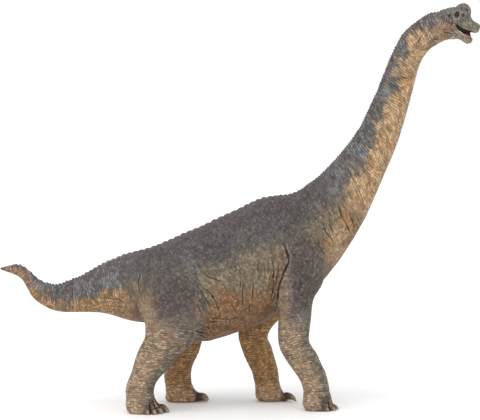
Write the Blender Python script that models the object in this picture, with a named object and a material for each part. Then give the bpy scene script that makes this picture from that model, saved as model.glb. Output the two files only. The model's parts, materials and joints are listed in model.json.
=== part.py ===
"""Toy sauropod: a painted soft-plastic figure of a long-necked dinosaur.

It walks with its neck raised, its mouth open and the tip of its tail turned
up. +X is towards the nose, +Y is its left side and +Z is up. The soles stand
on z = 0. Shapes are given in millimetres and built in metres.

The body is lofted from slices, grown together, thinned to a light mesh and
then parted by thin cuts into head, jaw, neck, torso, tail, legs and feet.
"""

import math
import random

import bmesh
import bpy
from mathutils import Matrix, Vector
from mathutils.bvhtree import BVHTree

MM = 0.001
GAP = 0.3 * MM
SIDES = 28
RING_STEP = 3.0 * MM
FINE_STEP = 1.2 * MM
TRUNK_BOXINESS = 2.15
LEG_BOXINESS = 2.35

# Slices across the trunk: back (x, z), belly (x, z), half width, taper.
# The taper says how much narrower the back half of a slice is than its belly half.
TAIL_SLICES = [
    ((-188.2, 111.6), (-188.2, 108.6), 1.2, 0.00),
    ((-179.7, 113.1), (-180.4, 106.5), 2.6, 0.00),
    ((-172.0, 112.9), (-175.4, 104.2), 3.6, 0.00),
    ((-164.0, 107.9), (-170.9, 101.5), 4.3, 0.00),
    ((-158.7, 102.6), (-167.4, 95.3), 5.0, 0.03),
    ((-152.4, 98.7), (-162.1, 86.3), 6.2, 0.06),
    ((-146.3, 97.9), (-152.9, 79.6), 7.6, 0.08),
    ((-140.8, 97.8), (-141.8, 75.6), 8.8, 0.10),
    ((-124.1, 104.4), (-118.8, 75.0), 12.0, 0.12),
    ((-114.0, 110.0), (-105.6, 73.9), 14.8, 0.12),
    ((-102.0, 116.0), (-94.8, 70.6), 18.6, 0.12),
]
TORSO_SLICES = [
    ((-86.2, 121.9), (-84.0, 67.6), 23.5, 0.13),
    ((-72.1, 125.3), (-71.0, 66.0), 28.0, 0.14),
    ((-54.8, 131.8), (-55.6, 61.5), 32.0, 0.16),
    ((-39.2, 138.7), (-40.0, 54.5), 35.0, 0.18),
    ((-25.8, 144.1), (-26.7, 51.6), 37.0, 0.20),
    ((1.6, 156.6), (0.7, 59.6), 39.0, 0.22),
    ((15.7, 163.2), (17.5, 65.5), 38.0, 0.22),
    ((29.7, 165.8), (34.5, 78.0), 35.0, 0.20),
    ((40.7, 166.8), (52.4, 88.5), 31.0, 0.16),
    ((46.5, 169.3), (67.0, 101.2), 27.0, 0.12),
    ((51.5, 173.0), (81.6, 120.6), 23.2, 0.08),
]
NECK_SLICES = [
    ((57.0, 177.2), (93.8, 139.8), 20.2, 0.08),
    ((62.8, 181.4), (100.8, 153.1), 18.0, 0.08),
    ((79.1, 198.5), (111.5, 177.9), 14.8, 0.07),
    ((94.3, 219.3), (123.4, 206.0), 12.2, 0.06),
    ((106.9, 246.1), (133.0, 237.4), 10.4, 0.05),
    ((118.7, 274.3), (139.9, 264.1), 9.3, 0.04),
    ((128.0, 290.9), (146.5, 275.6), 9.3, 0.04),
    ((140.6, 301.3), (153.6, 281.2), 9.4, 0.04),
    ((149.5, 306.3), (159.4, 284.2), 9.4, 0.04),
    ((156.5, 307.4), (163.5, 285.4), 8.9, 0.04),
    ((163.5, 309.3), (166.8, 286.6), 8.2, 0.04),
]

# Slices across a leg, top to bottom: rear (x, z), front (x, z), middle y, half thickness.
HIND_RIGHT_SLICES = [
    ((-67.0, 117.0), (-46.0, 121.5), -15.0, 8.0),
    ((-72.5, 107.5), (-38.5, 111.5), -20.0, 13.0),
    ((-75.2, 98.6), (-34.5, 100.5), -23.5, 15.5),
    ((-75.4, 83.2), (-32.0, 82.8), -26.0, 15.5),
    ((-74.4, 70.1), (-32.0, 67.4), -27.5, 14.5),
    ((-73.8, 59.2), (-36.6, 53.5), -28.5, 13.3),
    ((-78.4, 50.0), (-46.0, 45.9), -29.0, 12.3),
    ((-82.0, 40.8), (-54.7, 35.1), -29.0, 11.6),
    ((-84.9, 30.7), (-62.6, 27.1), -29.0, 11.0),
    ((-88.5, 22.3), (-66.2, 21.9), -29.0, 10.7),
    ((-89.2, 15.3), (-67.7, 15.1), -29.0, 10.6),
    ((-88.8, 10.7), (-66.2, 9.9), -29.0, 11.0),
    ((-89.6, 6.0), (-63.4, 5.4), -29.0, 11.8),
    ((-88.4, 2.2), (-61.5, 2.0), -29.0, 12.0),
    ((-85.0, -1.2), (-62.5, -1.2), -29.0, 10.8),
]
HIND_LEFT_SLICES = [
    ((-67.0, 115.5), (-46.0, 119.5), 15.0, 8.0),
    ((-71.5, 104.5), (-38.0, 108.0), 20.0, 13.0),
    ((-72.4, 93.1), (-32.3, 96.8), 23.5, 15.5),
    ((-69.4, 77.1), (-27.7, 79.1), 26.5, 15.5),
    ((-64.8, 63.5), (-26.2, 63.1), 28.5, 14.0),
    ((-60.9, 50.6), (-31.0, 48.1), 29.5, 12.7),
    ((-60.2, 39.4), (-33.6, 39.1), 30.5, 11.8),
    ((-61.1, 28.9), (-38.7, 28.7), 31.0, 11.0),
    ((-61.8, 20.1), (-40.3, 20.6), 31.0, 10.7),
    ((-60.8, 12.1), (-39.3, 12.8), 31.0, 10.8),
    ((-60.3, 6.4), (-36.4, 7.8), 31.0, 11.6),
    ((-61.3, 2.2), (-33.0, 3.0), 31.0, 12.0),
    ((-58.5, -1.2), (-34.0, -1.2), 31.0, 10.8),
]
FORE_RIGHT_SLICES = [
    ((38.5, 147.0), (51.0, 151.0), -15.0, 8.0),
    ((36.0, 133.3), (56.5, 138.2), -19.5, 12.0),
    ((33.6, 120.3), (62.3, 123.9), -22.0, 13.5),
    ((32.6, 107.1), (66.5, 109.9), -23.5, 13.5),
    ((31.0, 93.2), (63.0, 96.8), -24.0, 12.8),
    ((29.4, 83.2), (55.9, 86.1), -24.0, 12.0),
    ((28.6, 71.6), (54.6, 73.9), -23.5, 11.2),
    ((28.2, 60.8), (53.0, 61.5), -23.2, 10.7),
    ((29.2, 49.1), (52.6, 52.8), -23.0, 10.9),
    ((34.1, 39.4), (57.8, 45.0), -23.0, 10.8),
    ((40.6, 30.0), (62.0, 35.6), -23.0, 10.3),
    ((45.5, 22.6), (65.8, 27.1), -23.0, 9.9),
    ((47.5, 16.4), (67.6, 17.7), -23.0, 9.7),
    ((47.7, 10.9), (68.9, 11.5), -23.0, 10.0),
    ((46.6, 5.5), (70.0, 6.0), -23.0, 10.7),
    ((48.0, 1.8), (70.3, 2.0), -23.0, 10.8),
    ((50.8, -1.2), (69.0, -1.2), -23.0, 9.6),
]
FORE_LEFT_SLICES = [
    ((38.0, 144.0), (50.0, 148.0), 15.0, 8.0),
    ((34.8, 129.9), (57.1, 134.4), 19.5, 12.0),
    ((30.7, 113.9), (63.0, 118.4), 22.5, 13.5),
    ((23.4, 98.1), (59.0, 100.4), 24.0, 13.3),
    ((14.5, 83.8), (48.5, 82.4), 25.0, 12.5),
    ((5.7, 71.1), (35.6, 70.0), 26.0, 11.6),
    ((-0.9, 60.7), (24.6, 58.9), 27.0, 11.0),
    ((-2.5, 51.9), (21.1, 50.9), 27.5, 10.8),
    ((-0.2, 43.1), (23.9, 44.5), 28.0, 10.8),
    ((3.3, 33.4), (26.6, 34.8), 28.5, 10.4),
    ((8.0, 23.8), (29.2, 25.2), 29.0, 10.0),
    ((10.4, 14.9), (30.2, 15.6), 29.0, 9.8),
    ((11.1, 8.5), (31.6, 9.1), 29.0, 10.2),
    ((10.9, 3.6), (34.6, 4.3), 29.0, 10.8),
    ((15.0, -1.2), (34.0, -1.2), 29.0, 9.6),
]
# Each leg's digits: angle out from straight ahead, how far the front of the toe
# is from the foot's middle, toe radius, claw length, claw width and how high the
# claw's root is. Angles turn towards the outer side.
HIND_RIGHT_DIGITS = [
    (-21.0, 14.2, 3.9, 5.4, 4.8, 3.2),
    (5.0, 14.4, 4.0, 5.6, 5.0, 3.2),
    (30.0, 13.4, 3.8, 4.0, 4.4, 2.8),
    (52.0, 13.4, 3.4, 2.8, 3.8, 2.4),
    (74.0, 12.8, 3.2, 2.0, 3.4, 2.2),
]
HIND_LEFT_DIGITS = [
    (-19.0, 15.2, 4.0, 6.4, 5.4, 3.8),
    (6.0, 15.2, 4.0, 6.2, 5.0, 3.4),
    (31.0, 13.4, 3.8, 4.4, 4.4, 2.8),
    (53.0, 13.2, 3.4, 2.8, 3.8, 2.4),
    (75.0, 12.6, 3.2, 2.0, 3.4, 2.2),
]
FORE_RIGHT_DIGITS = [
    (-50.0, 12.4, 3.5, 7.0, 4.8, 4.6),
    (-20.0, 13.2, 3.2, 2.8, 3.4, 2.4),
    (5.0, 13.6, 3.2, 2.8, 3.4, 2.4),
    (30.0, 13.0, 3.1, 2.6, 3.2, 2.2),
    (55.0, 12.0, 3.0, 2.2, 3.0, 2.0),
]
FORE_LEFT_DIGITS = [
    (-26.0, 16.0, 3.5, 7.2, 4.8, 4.6),
    (-2.0, 13.6, 3.2, 2.8, 3.4, 2.4),
    (22.0, 13.6, 3.2, 2.8, 3.4, 2.4),
    (46.0, 12.8, 3.1, 2.6, 3.2, 2.2),
    (70.0, 11.8, 3.0, 2.2, 3.0, 2.0),
]
HIND_RIGHT_FOOT = (-75.5, -29.0)
HIND_LEFT_FOOT = (-47.5, 31.0)
FORE_RIGHT_FOOT = (58.5, -23.0)
FORE_LEFT_FOOT = (22.5, 29.0)
CLAW_ROOT = 3.0
CLAW_RINGS = [(0.0, 1.0), (0.5, 1.0), (0.82, 0.72), (1.0, 0.3)]
CLAW_SIDES = 6
CLAW_TALLNESS = 1.1
CLAW_CLEARANCE = 0.3
# Room left round a leg's outline: beside its edge, beside its shin, over its top
# and round its foot, which begins at a height of its own.
EDGE_ROOM = 1.6
SHIN_ROOM = 2.5
CROWN_RISE = 3.0
FOOT_ROOM = 25.0
FOOT_LEVEL = 30.0

# The head is shaped level round the hinge of its jaw and then pitched down.
# Its slices are: distance ahead, top, bottom, half width, boxiness.
JAW_HINGE = (165.5, 294.5)
HEAD_PITCH = math.radians(18.0)
SKULL_SLICES = [
    (-10.5, 10.8, -7.5, 8.8, 2.1),
    (-5.5, 14.2, -6.5, 8.8, 2.1),
    (0.0, 16.0, -1.0, 8.6, 2.2),
    (4.5, 15.6, 2.0, 7.5, 2.3),
    (8.8, 14.2, 1.3, 6.6, 2.4),
    (12.1, 11.6, 1.1, 6.2, 2.5),
    (14.7, 9.7, 1.1, 6.1, 2.7),
    (17.0, 9.2, 1.2, 6.3, 2.8),
    (19.3, 8.9, 1.6, 6.0, 2.8),
    (20.7, 7.7, 2.6, 4.8, 2.4),
]
NOSE_DOME_PLACE = (4.6, 12.4)
NOSE_DOME_RADII = (6.8, 4.9, 8.6)
CHEEK_PLACE = (-1.6, 0.6)
CHEEK_RADII = (5.1, 8.1, 6.0)
# Slices of the open jaw: top (ahead, up), bottom (ahead, up), half width.
JAW_SLICES = [
    ((-1.5, -0.6), (-1.0, -9.0), 8.0),
    ((2.0, 0.2), (3.4, -8.6), 7.8),
    ((5.0, -0.4), (6.6, -7.2), 7.2),
    ((8.75, -1.8), (9.4, -6.9), 6.3),
    ((13.0, -3.5), (13.0, -8.0), 5.8),
    ((16.4, -3.6), (15.8, -8.5), 5.2),
    ((18.3, -3.3), (18.1, -6.6), 3.4),
]
# The mouth is moulded shut behind the tongue: top, bottom, half width.
MOUTH_CORE_SLICES = [
    ((-2.0, 4.0), (-2.0, -4.0), 4.5),
    ((4.0, 4.0), (4.0, -3.0), 4.2),
    ((9.0, 3.5), (12.0, -4.5), 3.0),
    ((12.6, 3.0), (18.0, -4.4), 2.2),
]
# The jaw is parted from the throat below the corner of the mouth, and from the
# filling of the mouth along its lip.
JAW_OUTLINE = [(5.4, -15.0), (3.2, 2.2), (4.7, 0.9), (8.5, -1.0), (12.5, -2.6), (26.0, -2.3), (26.0, -15.0)]

EYE_PLACE = (4.9, 11.3)
EYE_RADIUS = 1.2
EYE_SIDE = 6.3
EYELID_RADII = (1.45, 1.45)
EYELID_TUBE = 0.45
EYELID_SIDE = 6.75
TEMPLE_PLACE = (0.3, 10.4)
TEMPLE_RADII = (2.1, 3.0)
TEMPLE_RIM_RADII = (2.6, 3.5)
TEMPLE_RIM_TUBE = 0.6
TEMPLE_SIDE = 7.75
TEMPLE_LEAN = 0.13
NOSTRIL_PLACE = (7.2, 16.3)
NOSTRIL_SLANT = math.radians(-35.0)
EAR_PLACE = (-5.0, 8.0)
TONGUE_PLACE = (12.2, -2.6)
TONGUE_RADII = (4.9, 3.2, 1.4)
TONGUE_DIP = math.radians(10.0)
TOOTH_RADIUS = 0.45
TOOTH_HEIGHT = 0.7
TEETH_PER_SIDE = 8
# The tooth rows of the lower jaw: how far ahead and how far out they start and end.
TEETH_START = (6.0, 5.6)
TEETH_END = (16.6, 3.4)

# Where the trunk is parted: the slice behind each part and the slice ahead of it.
HEAD_CUT = ((153.2, 309.5), (160.9, 282.5))
TRUNK_PARTS = [
    ("tail_tip", None, TAIL_SLICES[6]),
    ("tail_middle", TAIL_SLICES[6], TAIL_SLICES[8]),
    ("tail_base", TAIL_SLICES[8], TORSO_SLICES[0]),
    ("torso", TORSO_SLICES[0], NECK_SLICES[0]),
    ("neck_lower", NECK_SLICES[0], NECK_SLICES[3]),
    ("neck_middle", NECK_SLICES[3], NECK_SLICES[4]),
    ("neck_upper", NECK_SLICES[4], HEAD_CUT),
]

# How each leg is parted: its slices down to the body, the heights at which the
# flank lets go of its rear and front edge, how deep it reaches into the trunk,
# and its knee or elbow and ankle or wrist slices.
LEGS = {
    "hind_right": dict(
        slices=HIND_RIGHT_SLICES, side=-1, foot=HIND_RIGHT_FOOT, digits=HIND_RIGHT_DIGITS,
        in_body=6, rear_level=58.0, front_level=49.0, depth=13.0, cuts=(5, 10),
        parts=("thigh_right", "shin_right", "hind_foot_right")),
    "hind_left": dict(
        slices=HIND_LEFT_SLICES, side=1, foot=HIND_LEFT_FOOT, digits=HIND_LEFT_DIGITS,
        in_body=6, rear_level=50.0, front_level=47.0, depth=13.0, cuts=(5, 9),
        parts=("thigh_left", "shin_left", "hind_foot_left")),
    "fore_right": dict(
        slices=FORE_RIGHT_SLICES, side=-1, foot=FORE_RIGHT_FOOT, digits=FORE_RIGHT_DIGITS,
        in_body=7, rear_level=70.0, front_level=72.0, depth=10.5, cuts=(7, 12),
        parts=("upper_arm_right", "forearm_right", "fore_foot_right")),
    "fore_left": dict(
        slices=FORE_LEFT_SLICES, side=1, foot=FORE_LEFT_FOOT, digits=FORE_LEFT_DIGITS,
        in_body=7, rear_level=56.0, front_level=57.0, depth=10.5, cuts=(7, 11),
        parts=("upper_arm_left", "forearm_left", "fore_foot_left")),
}
OUTSIDE = 60.0

BODY_VOXEL = 0.9 * MM
HEAD_VOXEL = 0.35 * MM
BODY_TRIANGLES = 4300
HEAD_TRIANGLES = 1700

# Low bumps along the ridge of the back: length and spacing on tail, back, withers and neck.
SCUTE_SEED = 11
SCUTE_HEIGHT = 0.9
SCUTE_ROOT = 1.2
SCUTE_HALF_WIDTH = 1.5
# How far the back is kept down to leave room for them.
RIDGE_ROOM = 0.6
SCUTE_SPACING = [(-176.0, 4.0), (-120.0, 5.0), (-20.0, 6.2), (55.0, 7.0), (75.0, 5.6), (160.0, 5.0)]

# Painted colours, as seen in daylight.
BACK_GREY = (96, 90, 84)
FLANK_OLIVE = (124, 111, 92)
NECK_TAN = (140, 122, 100)
LIMB_TAN = (142, 120, 96)
HEAD_GREY = (140, 130, 114)
TONGUE_PINK = (165, 105, 105)
EYE_NAVY = (22, 24, 42)


def flat(point, y=0.0):
    """A side-view point (x, z) in millimetres as a place in metres."""
    return Vector((point[0] * MM, y * MM, point[1] * MM))


def head_point(ahead, up):
    """A side-view point given level round the jaw hinge, pitched down with the head."""
    cos, sin = math.cos(HEAD_PITCH), math.sin(HEAD_PITCH)
    return (JAW_HINGE[0] + ahead * cos + up * sin, JAW_HINGE[1] - ahead * sin + up * cos)


def on_head(ahead, up, side=0.0):
    return flat(head_point(ahead, up), side)


def link(name, bm):
    """Put a finished bmesh in the scene as an object."""
    mesh = bpy.data.meshes.new(name)
    bm.to_mesh(mesh)
    bm.free()
    obj = bpy.data.objects.new(name, mesh)
    bpy.context.scene.collection.objects.link(obj)
    return obj


def closed(name, bm):
    """Link a closed shape with its faces turned outwards."""
    bmesh.ops.recalc_face_normals(bm, faces=bm.faces)
    return link(name, bm)


def remove(objects):
    for obj in objects:
        bpy.data.objects.remove(obj, do_unlink=True)


def bridge(bm, ring, following):
    """Faces between two rings of the same number of points."""
    for k in range(len(ring)):
        n = (k + 1) % len(ring)
        bm.faces.new((ring[k], ring[n], following[n], following[k]))


def smooth_rows(rows, step):
    """Run a Catmull-Rom curve through rows of numbers, about a step apart.

    The first three numbers of a row are its place.
    """
    out = []
    for i in range(len(rows) - 1):
        before = rows[max(i - 1, 0)]
        a, b = rows[i], rows[i + 1]
        after = rows[min(i + 2, len(rows) - 1)]
        count = max(1, round(math.dist(a[:3], b[:3]) / step))
        for j in range(count):
            t = j / count
            out.append([
                0.5 * (2 * p1 + (p2 - p0) * t + (2 * p0 - 5 * p1 + 4 * p2 - p3) * t ** 2
                       + (3 * p1 - p0 - 3 * p2 + p3) * t ** 3)
                for p0, p1, p2, p3 in zip(before, a, b, after)
            ])
    out.append(list(rows[-1]))
    return out


def loft(name, slices, step):
    """Skin a row of slices: upper edge, lower edge, half width, taper, boxiness."""
    rows = [[*((upper + lower) / 2), *((upper - lower) / 2), half_width, taper, boxiness]
            for upper, lower, half_width, taper, boxiness in slices]
    bm = bmesh.new()
    rings = []
    for row in smooth_rows(rows, step):
        middle, rise = Vector(row[:3]), Vector(row[3:6])
        half_width, taper, boxiness = row[6:]
        ring = []
        for k in range(SIDES):
            angle = 2 * math.pi * k / SIDES
            sin, cos = math.sin(angle), math.cos(angle)
            up = math.copysign(abs(sin) ** (2 / boxiness), sin)
            out = math.copysign(abs(cos) ** (2 / boxiness), cos) * (1 - taper * sin)
            ring.append(bm.verts.new(middle + rise * up + Vector((0, half_width * out, 0))))
        rings.append(ring)
    for ring, following in zip(rings, rings[1:]):
        bridge(bm, ring, following)
    bm.faces.new(rings[0])
    bm.faces.new(rings[-1])
    return closed(name, bm)


def trunk_loft(name, slices):
    """Skin slices of the trunk, with the back kept down by the room for its ridge."""
    rows = []
    for back, belly, half, taper in slices:
        top, bottom = flat(back), flat(belly)
        lowered = top + (bottom - top).normalized() * RIDGE_ROOM * MM
        rows.append((lowered, bottom, half * MM, taper, TRUNK_BOXINESS))
    return loft(name, rows, RING_STEP)


def leg_loft(name, slices):
    return loft(name, [(flat(rear, y), flat(front, y), half * MM, 0.0, LEG_BOXINESS)
                       for rear, front, y, half in slices], RING_STEP)


def ellipsoid(name, centre, radii, turn=None, rings=8, segments=12):
    """A closed ball stretched to its three radii in millimetres, turned, and placed."""
    bm = bmesh.new()
    bmesh.ops.create_uvsphere(bm, u_segments=segments, v_segments=rings, radius=MM)
    shape = Matrix.Diagonal((*radii, 1.0))
    if turn:
        shape = turn.to_4x4() @ shape
    bmesh.ops.transform(bm, matrix=Matrix.Translation(centre) @ shape, verts=bm.verts)
    return closed(name, bm)


def oval_rim(name, place, radii, tube, side, out, lean):
    """A raised oval ring on one side of the head, leaning in towards its top."""
    bm = bmesh.new()
    around, across = 24, 8
    rings = []
    for i in range(around):
        turn = 2 * math.pi * i / around
        ring = []
        for j in range(across):
            roll = 2 * math.pi * j / across
            ahead = math.cos(turn) * (radii[0] + tube * math.cos(roll))
            up = math.sin(turn) * (radii[1] + tube * math.cos(roll))
            level = out - lean * up + tube * math.sin(roll)
            ring.append(bm.verts.new(on_head(place[0] + ahead, place[1] + up, side * level)))
        rings.append(ring)
    for i in range(around):
        bridge(bm, rings[i], rings[(i + 1) % around])
    return closed(name, bm)


def apply_modifiers(obj):
    """Replace an object's mesh by what its modifiers make of it."""
    graph = bpy.context.evaluated_depsgraph_get()
    mesh = bpy.data.meshes.new_from_object(obj.evaluated_get(graph))
    obj.modifiers.clear()
    obj.data = mesh


def gather(name, objects):
    """Bring several closed shapes into one mesh, still overlapping."""
    bm = bmesh.new()
    for obj in objects:
        bm.from_mesh(obj.data)
    remove(objects)
    return link(name, bm)


def keep_largest_body(obj):
    """Drop every closed surface of a mesh but the largest."""
    bm = bmesh.new()
    bm.from_mesh(obj.data)
    unseen, bodies = set(bm.faces), []
    while unseen:
        queue, found = [unseen.pop()], []
        while queue:
            face = queue.pop()
            found.append(face)
            near = {other for edge in face.edges for other in edge.link_faces} & unseen
            unseen -= near
            queue.extend(near)
        bodies.append(found)
    bodies.sort(key=lambda faces: sum(face.calc_area() for face in faces))
    scraps = [face for faces in bodies[:-1] for face in faces]
    bmesh.ops.delete(bm, geom=scraps, context="FACES")
    bm.to_mesh(obj.data)
    bm.free()


def boolean(obj, others, operation):
    """Join to, cut from, or keep within, a collection of closed shapes."""
    group = bpy.data.collections.new("operands")
    bpy.context.scene.collection.children.link(group)
    for other in others:
        group.objects.link(other)
    modifier = obj.modifiers.new("boolean", "BOOLEAN")
    modifier.operation = operation
    modifier.operand_type = "COLLECTION"
    modifier.collection = group
    apply_modifiers(obj)
    remove(others)
    bpy.data.collections.remove(group)
    keep_largest_body(obj)


def grow_together(obj, voxel, smoothing):
    """Turn overlapping shapes into one even skin and ease its hollows."""
    remesh = obj.modifiers.new("remesh", "REMESH")
    remesh.mode = "VOXEL"
    remesh.voxel_size = voxel
    ease = obj.modifiers.new("ease", "SMOOTH")
    ease.factor = 0.5
    ease.iterations = smoothing
    apply_modifiers(obj)
    keep_largest_body(obj)


def thin_out(obj, triangles):
    """Reduce a dense mesh to about this many triangles."""
    faces = sum(len(polygon.vertices) - 2 for polygon in obj.data.polygons)
    thin = obj.modifiers.new("thin", "DECIMATE")
    thin.ratio = triangles / faces
    thin.use_collapse_triangulate = True
    apply_modifiers(obj)


def copy_of(obj, name):
    duplicate = bpy.data.objects.new(name, obj.data.copy())
    bpy.context.scene.collection.objects.link(duplicate)
    return duplicate


def trim(obj, point, away):
    """Cut the solid at a plane, drop the far side and cap the cut."""
    bm = bmesh.new()
    bm.from_mesh(obj.data)
    everything = bm.verts[:] + bm.edges[:] + bm.faces[:]
    bmesh.ops.bisect_plane(bm, geom=everything, dist=0.0001 * MM, plane_co=point,
                           plane_no=away, clear_outer=True)
    rim = [edge for edge in bm.edges if edge.is_boundary]
    bmesh.ops.triangle_fill(bm, edges=rim, use_beauty=True, use_dissolve=False)
    bmesh.ops.recalc_face_normals(bm, faces=bm.faces)
    bm.to_mesh(obj.data)
    bm.free()


def slice_plane(cut):
    """A slice's middle, and its normal: ahead on the trunk, upwards on a leg."""
    a, b = flat(cut[0]), flat(cut[1])
    across = (a - b).normalized()
    return (a + b) / 2, Vector((across.z, 0, -across.x))


def part_between(source, name, behind, ahead):
    """A copy of the source between two slices, half a gap short of each."""
    piece = copy_of(source, name)
    if behind:
        point, normal = slice_plane(behind)
        trim(piece, point + normal * GAP / 2, -normal)
    if ahead:
        point, normal = slice_plane(ahead)
        trim(piece, point - normal * GAP / 2, normal)
    keep_largest_body(piece)
    return piece


def prism(outline, inner, outer):
    """A side-view outline in millimetres drawn out sideways between two depths."""
    bm = bmesh.new()
    near = [bm.verts.new(flat(point, inner)) for point in outline]
    far = [bm.verts.new(flat(point, outer)) for point in outline]
    bm.faces.new(near)
    bm.faces.new(far)
    bridge(bm, near, far)
    return closed("prism", bm)


def inset(outline, distance):
    """Move every side of a clockwise outline inwards by a distance."""
    moved = []
    for i, point in enumerate(outline):
        before = Vector(outline[i - 1])
        here = Vector(point)
        after = Vector(outline[(i + 1) % len(outline)])
        arriving, leaving = (here - before).normalized(), (after - here).normalized()
        square = Vector((arriving.y, -arriving.x))
        inward = (square + Vector((leaving.y, -leaving.x))).normalized()
        moved.append(tuple(here + inward * distance / inward.dot(square)))
    return moved


def cut_out(source, name, outline, inner, outer):
    """Part what lies inside a side-view outline from the source, a gap apart."""
    margin = math.copysign(GAP / MM, outer - inner)
    piece = copy_of(source, name)
    boolean(piece, [prism(inset(outline, GAP / MM), inner + margin, outer + margin)], "INTERSECT")
    boolean(source, [prism(outline, inner, outer)], "DIFFERENCE")
    return piece


def leg_outline(leg):
    """The side outline that a leg takes from the flank, running clockwise.

    It follows the leg's own edges down to where the flank lets go of the leg,
    stands a little clear of the shin below that, and is wide round the foot.
    """
    rear = [slice_[0] for slice_ in leg["slices"]]
    front = [slice_[1] for slice_ in leg["slices"]]
    count = leg["in_body"]
    crown = ((rear[0][0] + front[0][0]) / 2, max(rear[0][1], front[0][1]) + CROWN_RISE)
    behind = min(x for x, z in rear) - FOOT_ROOM
    ahead = max(x for x, z in front) + FOOT_ROOM
    shin_rear = [(x - SHIN_ROOM, z) for x, z in rear[count:] if z > FOOT_LEVEL]
    shin_front = [(x + SHIN_ROOM, z) for x, z in front[count:] if z > FOOT_LEVEL]
    return ([(behind, -FOOT_ROOM), (behind, FOOT_LEVEL)] + shin_rear[::-1]
            + [(rear[count - 1][0] - EDGE_ROOM, leg["rear_level"])]
            + rear[count - 1::-1] + [crown] + front[:count]
            + [(front[count - 1][0] + EDGE_ROOM, leg["front_level"])]
            + shin_front + [(ahead, FOOT_LEVEL), (ahead, -FOOT_ROOM)])


def heading_of(angle, side):
    """The level direction of a digit that points out from straight ahead."""
    turn = math.radians(angle) * side
    return Vector((math.cos(turn), math.sin(turn), 0)), turn


def toes(leg):
    """Fleshy toes fanned round the front and outer side of a foot."""
    made = []
    middle = Vector((*leg["foot"], 0)) * MM
    for angle, front, radius, length, width, height in leg["digits"]:
        heading, turn = heading_of(angle, leg["side"])
        centre = middle + heading * (front - radius * 1.5) * MM
        centre.z = radius * 0.85 * MM
        made.append(ellipsoid("toe", centre, (radius * 1.5, radius, radius * 1.05),
                              Matrix.Rotation(turn, 3, "Z")))
    return made


def claw(root, heading, length, width, root_height):
    """A blunt claw of six-sided rings, arching down to just above the floor."""
    bm = bmesh.new()
    across, up = Vector((-heading.y, heading.x, 0)), Vector((0, 0, 1))
    rings = []
    for along, size in CLAW_RINGS:
        lowest = width * CLAW_TALLNESS / 2 * size + CLAW_CLEARANCE
        height = root_height * (1 - along ** 2) + lowest * along ** 2
        middle = root + (heading * length * along + up * max(height, lowest)) * MM
        rings.append([
            bm.verts.new(middle + (across * math.cos(turn) + up * CLAW_TALLNESS * math.sin(turn))
                         * width / 2 * size * MM)
            for turn in (2 * math.pi * k / CLAW_SIDES for k in range(CLAW_SIDES))
        ])
    for ring, following in zip(rings, rings[1:]):
        bridge(bm, ring, following)
    bm.faces.new(rings[0])
    bm.faces.new(rings[-1])
    return closed("claw", bm)


def claws(leg):
    """One claw for each digit, its root sunk into the toe."""
    made = []
    middle = Vector((*leg["foot"], 0)) * MM
    for angle, front, radius, length, width, height in leg["digits"]:
        heading = heading_of(angle, leg["side"])[0]
        root = middle + heading * (front - CLAW_ROOT) * MM
        made.append(claw(root, heading, length + CLAW_ROOT, width, height))
    return made


def teeth(jaw):
    """Two matching rows of small pegs standing in the edge of the lower jaw."""
    surface = BVHTree.FromObject(jaw, bpy.context.evaluated_depsgraph_get())
    stand = Matrix.Rotation(HEAD_PITCH, 4, "Y")
    upward = stand.to_3x3() @ Vector((0, 0, 1))
    made = []
    for side in (-1, 1):
        for i in range(TEETH_PER_SIDE):
            t = i / (TEETH_PER_SIDE - 1)
            ahead = TEETH_START[0] + (TEETH_END[0] - TEETH_START[0]) * t
            out = TEETH_START[1] + (TEETH_END[1] - TEETH_START[1]) * t ** 2
            root = surface.ray_cast(on_head(ahead, 5.0, side * out), -upward)[0]
            bm = bmesh.new()
            bmesh.ops.create_cone(bm, cap_ends=True, segments=5, radius1=TOOTH_RADIUS * MM,
                                  radius2=TOOTH_RADIUS * 0.4 * MM, depth=2 * TOOTH_HEIGHT * MM)
            bmesh.ops.transform(bm, matrix=Matrix.Translation(root) @ stand, verts=bm.verts)
            made.append(closed("tooth", bm))
    return made


def scute(place, along, out, half_length, half_width, height):
    """A low bump with a six-sided foot sunk into the ridge of the back."""
    bm = bmesh.new()
    side = along.cross(out)
    rings = []
    for level, size in ((-SCUTE_ROOT, 1.0), (height * 0.45, 0.8)):
        rings.append([
            bm.verts.new(place + (out * level + along * half_length * size * math.cos(turn)
                                  + side * half_width * size * math.sin(turn)) * MM)
            for turn in (math.pi * k / 3 for k in range(6))
        ])
    tip = bm.verts.new(place + (out * height - along * half_length * 0.2) * MM)
    bridge(bm, *rings)
    bm.faces.new(rings[0])
    for k in range(6):
        bm.faces.new((rings[1][k], rings[1][(k + 1) % 6], tip))
    return closed("scute", bm)


def spacing_at(x):
    """How far apart the bumps stand at a place along the animal."""
    for (x0, s0), (x1, s1) in zip(SCUTE_SPACING, SCUTE_SPACING[1:]):
        if x <= x1:
            return s0 + (s1 - s0) * max(0.0, x - x0) / (x1 - x0)
    return SCUTE_SPACING[-1][1]


def ridge_places():
    """Even places along the back line, with the way ahead and the way out."""
    line = [[*flat(back)] for back, belly, half, taper in TAIL_SLICES + TORSO_SLICES + NECK_SLICES]
    points = [Vector(row) for row in smooth_rows(line, 1.0 * MM)]
    places, walked = [], 0.0
    for before, here in zip(points, points[1:]):
        walked += (here - before).length
        if here.x / MM < SCUTE_SPACING[0][0] or walked < spacing_at(here.x / MM) * MM:
            continue
        walked = 0.0
        along = (here - before).normalized()
        places.append((here, along, Vector((-along.z, 0, along.x))))
    return places


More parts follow.
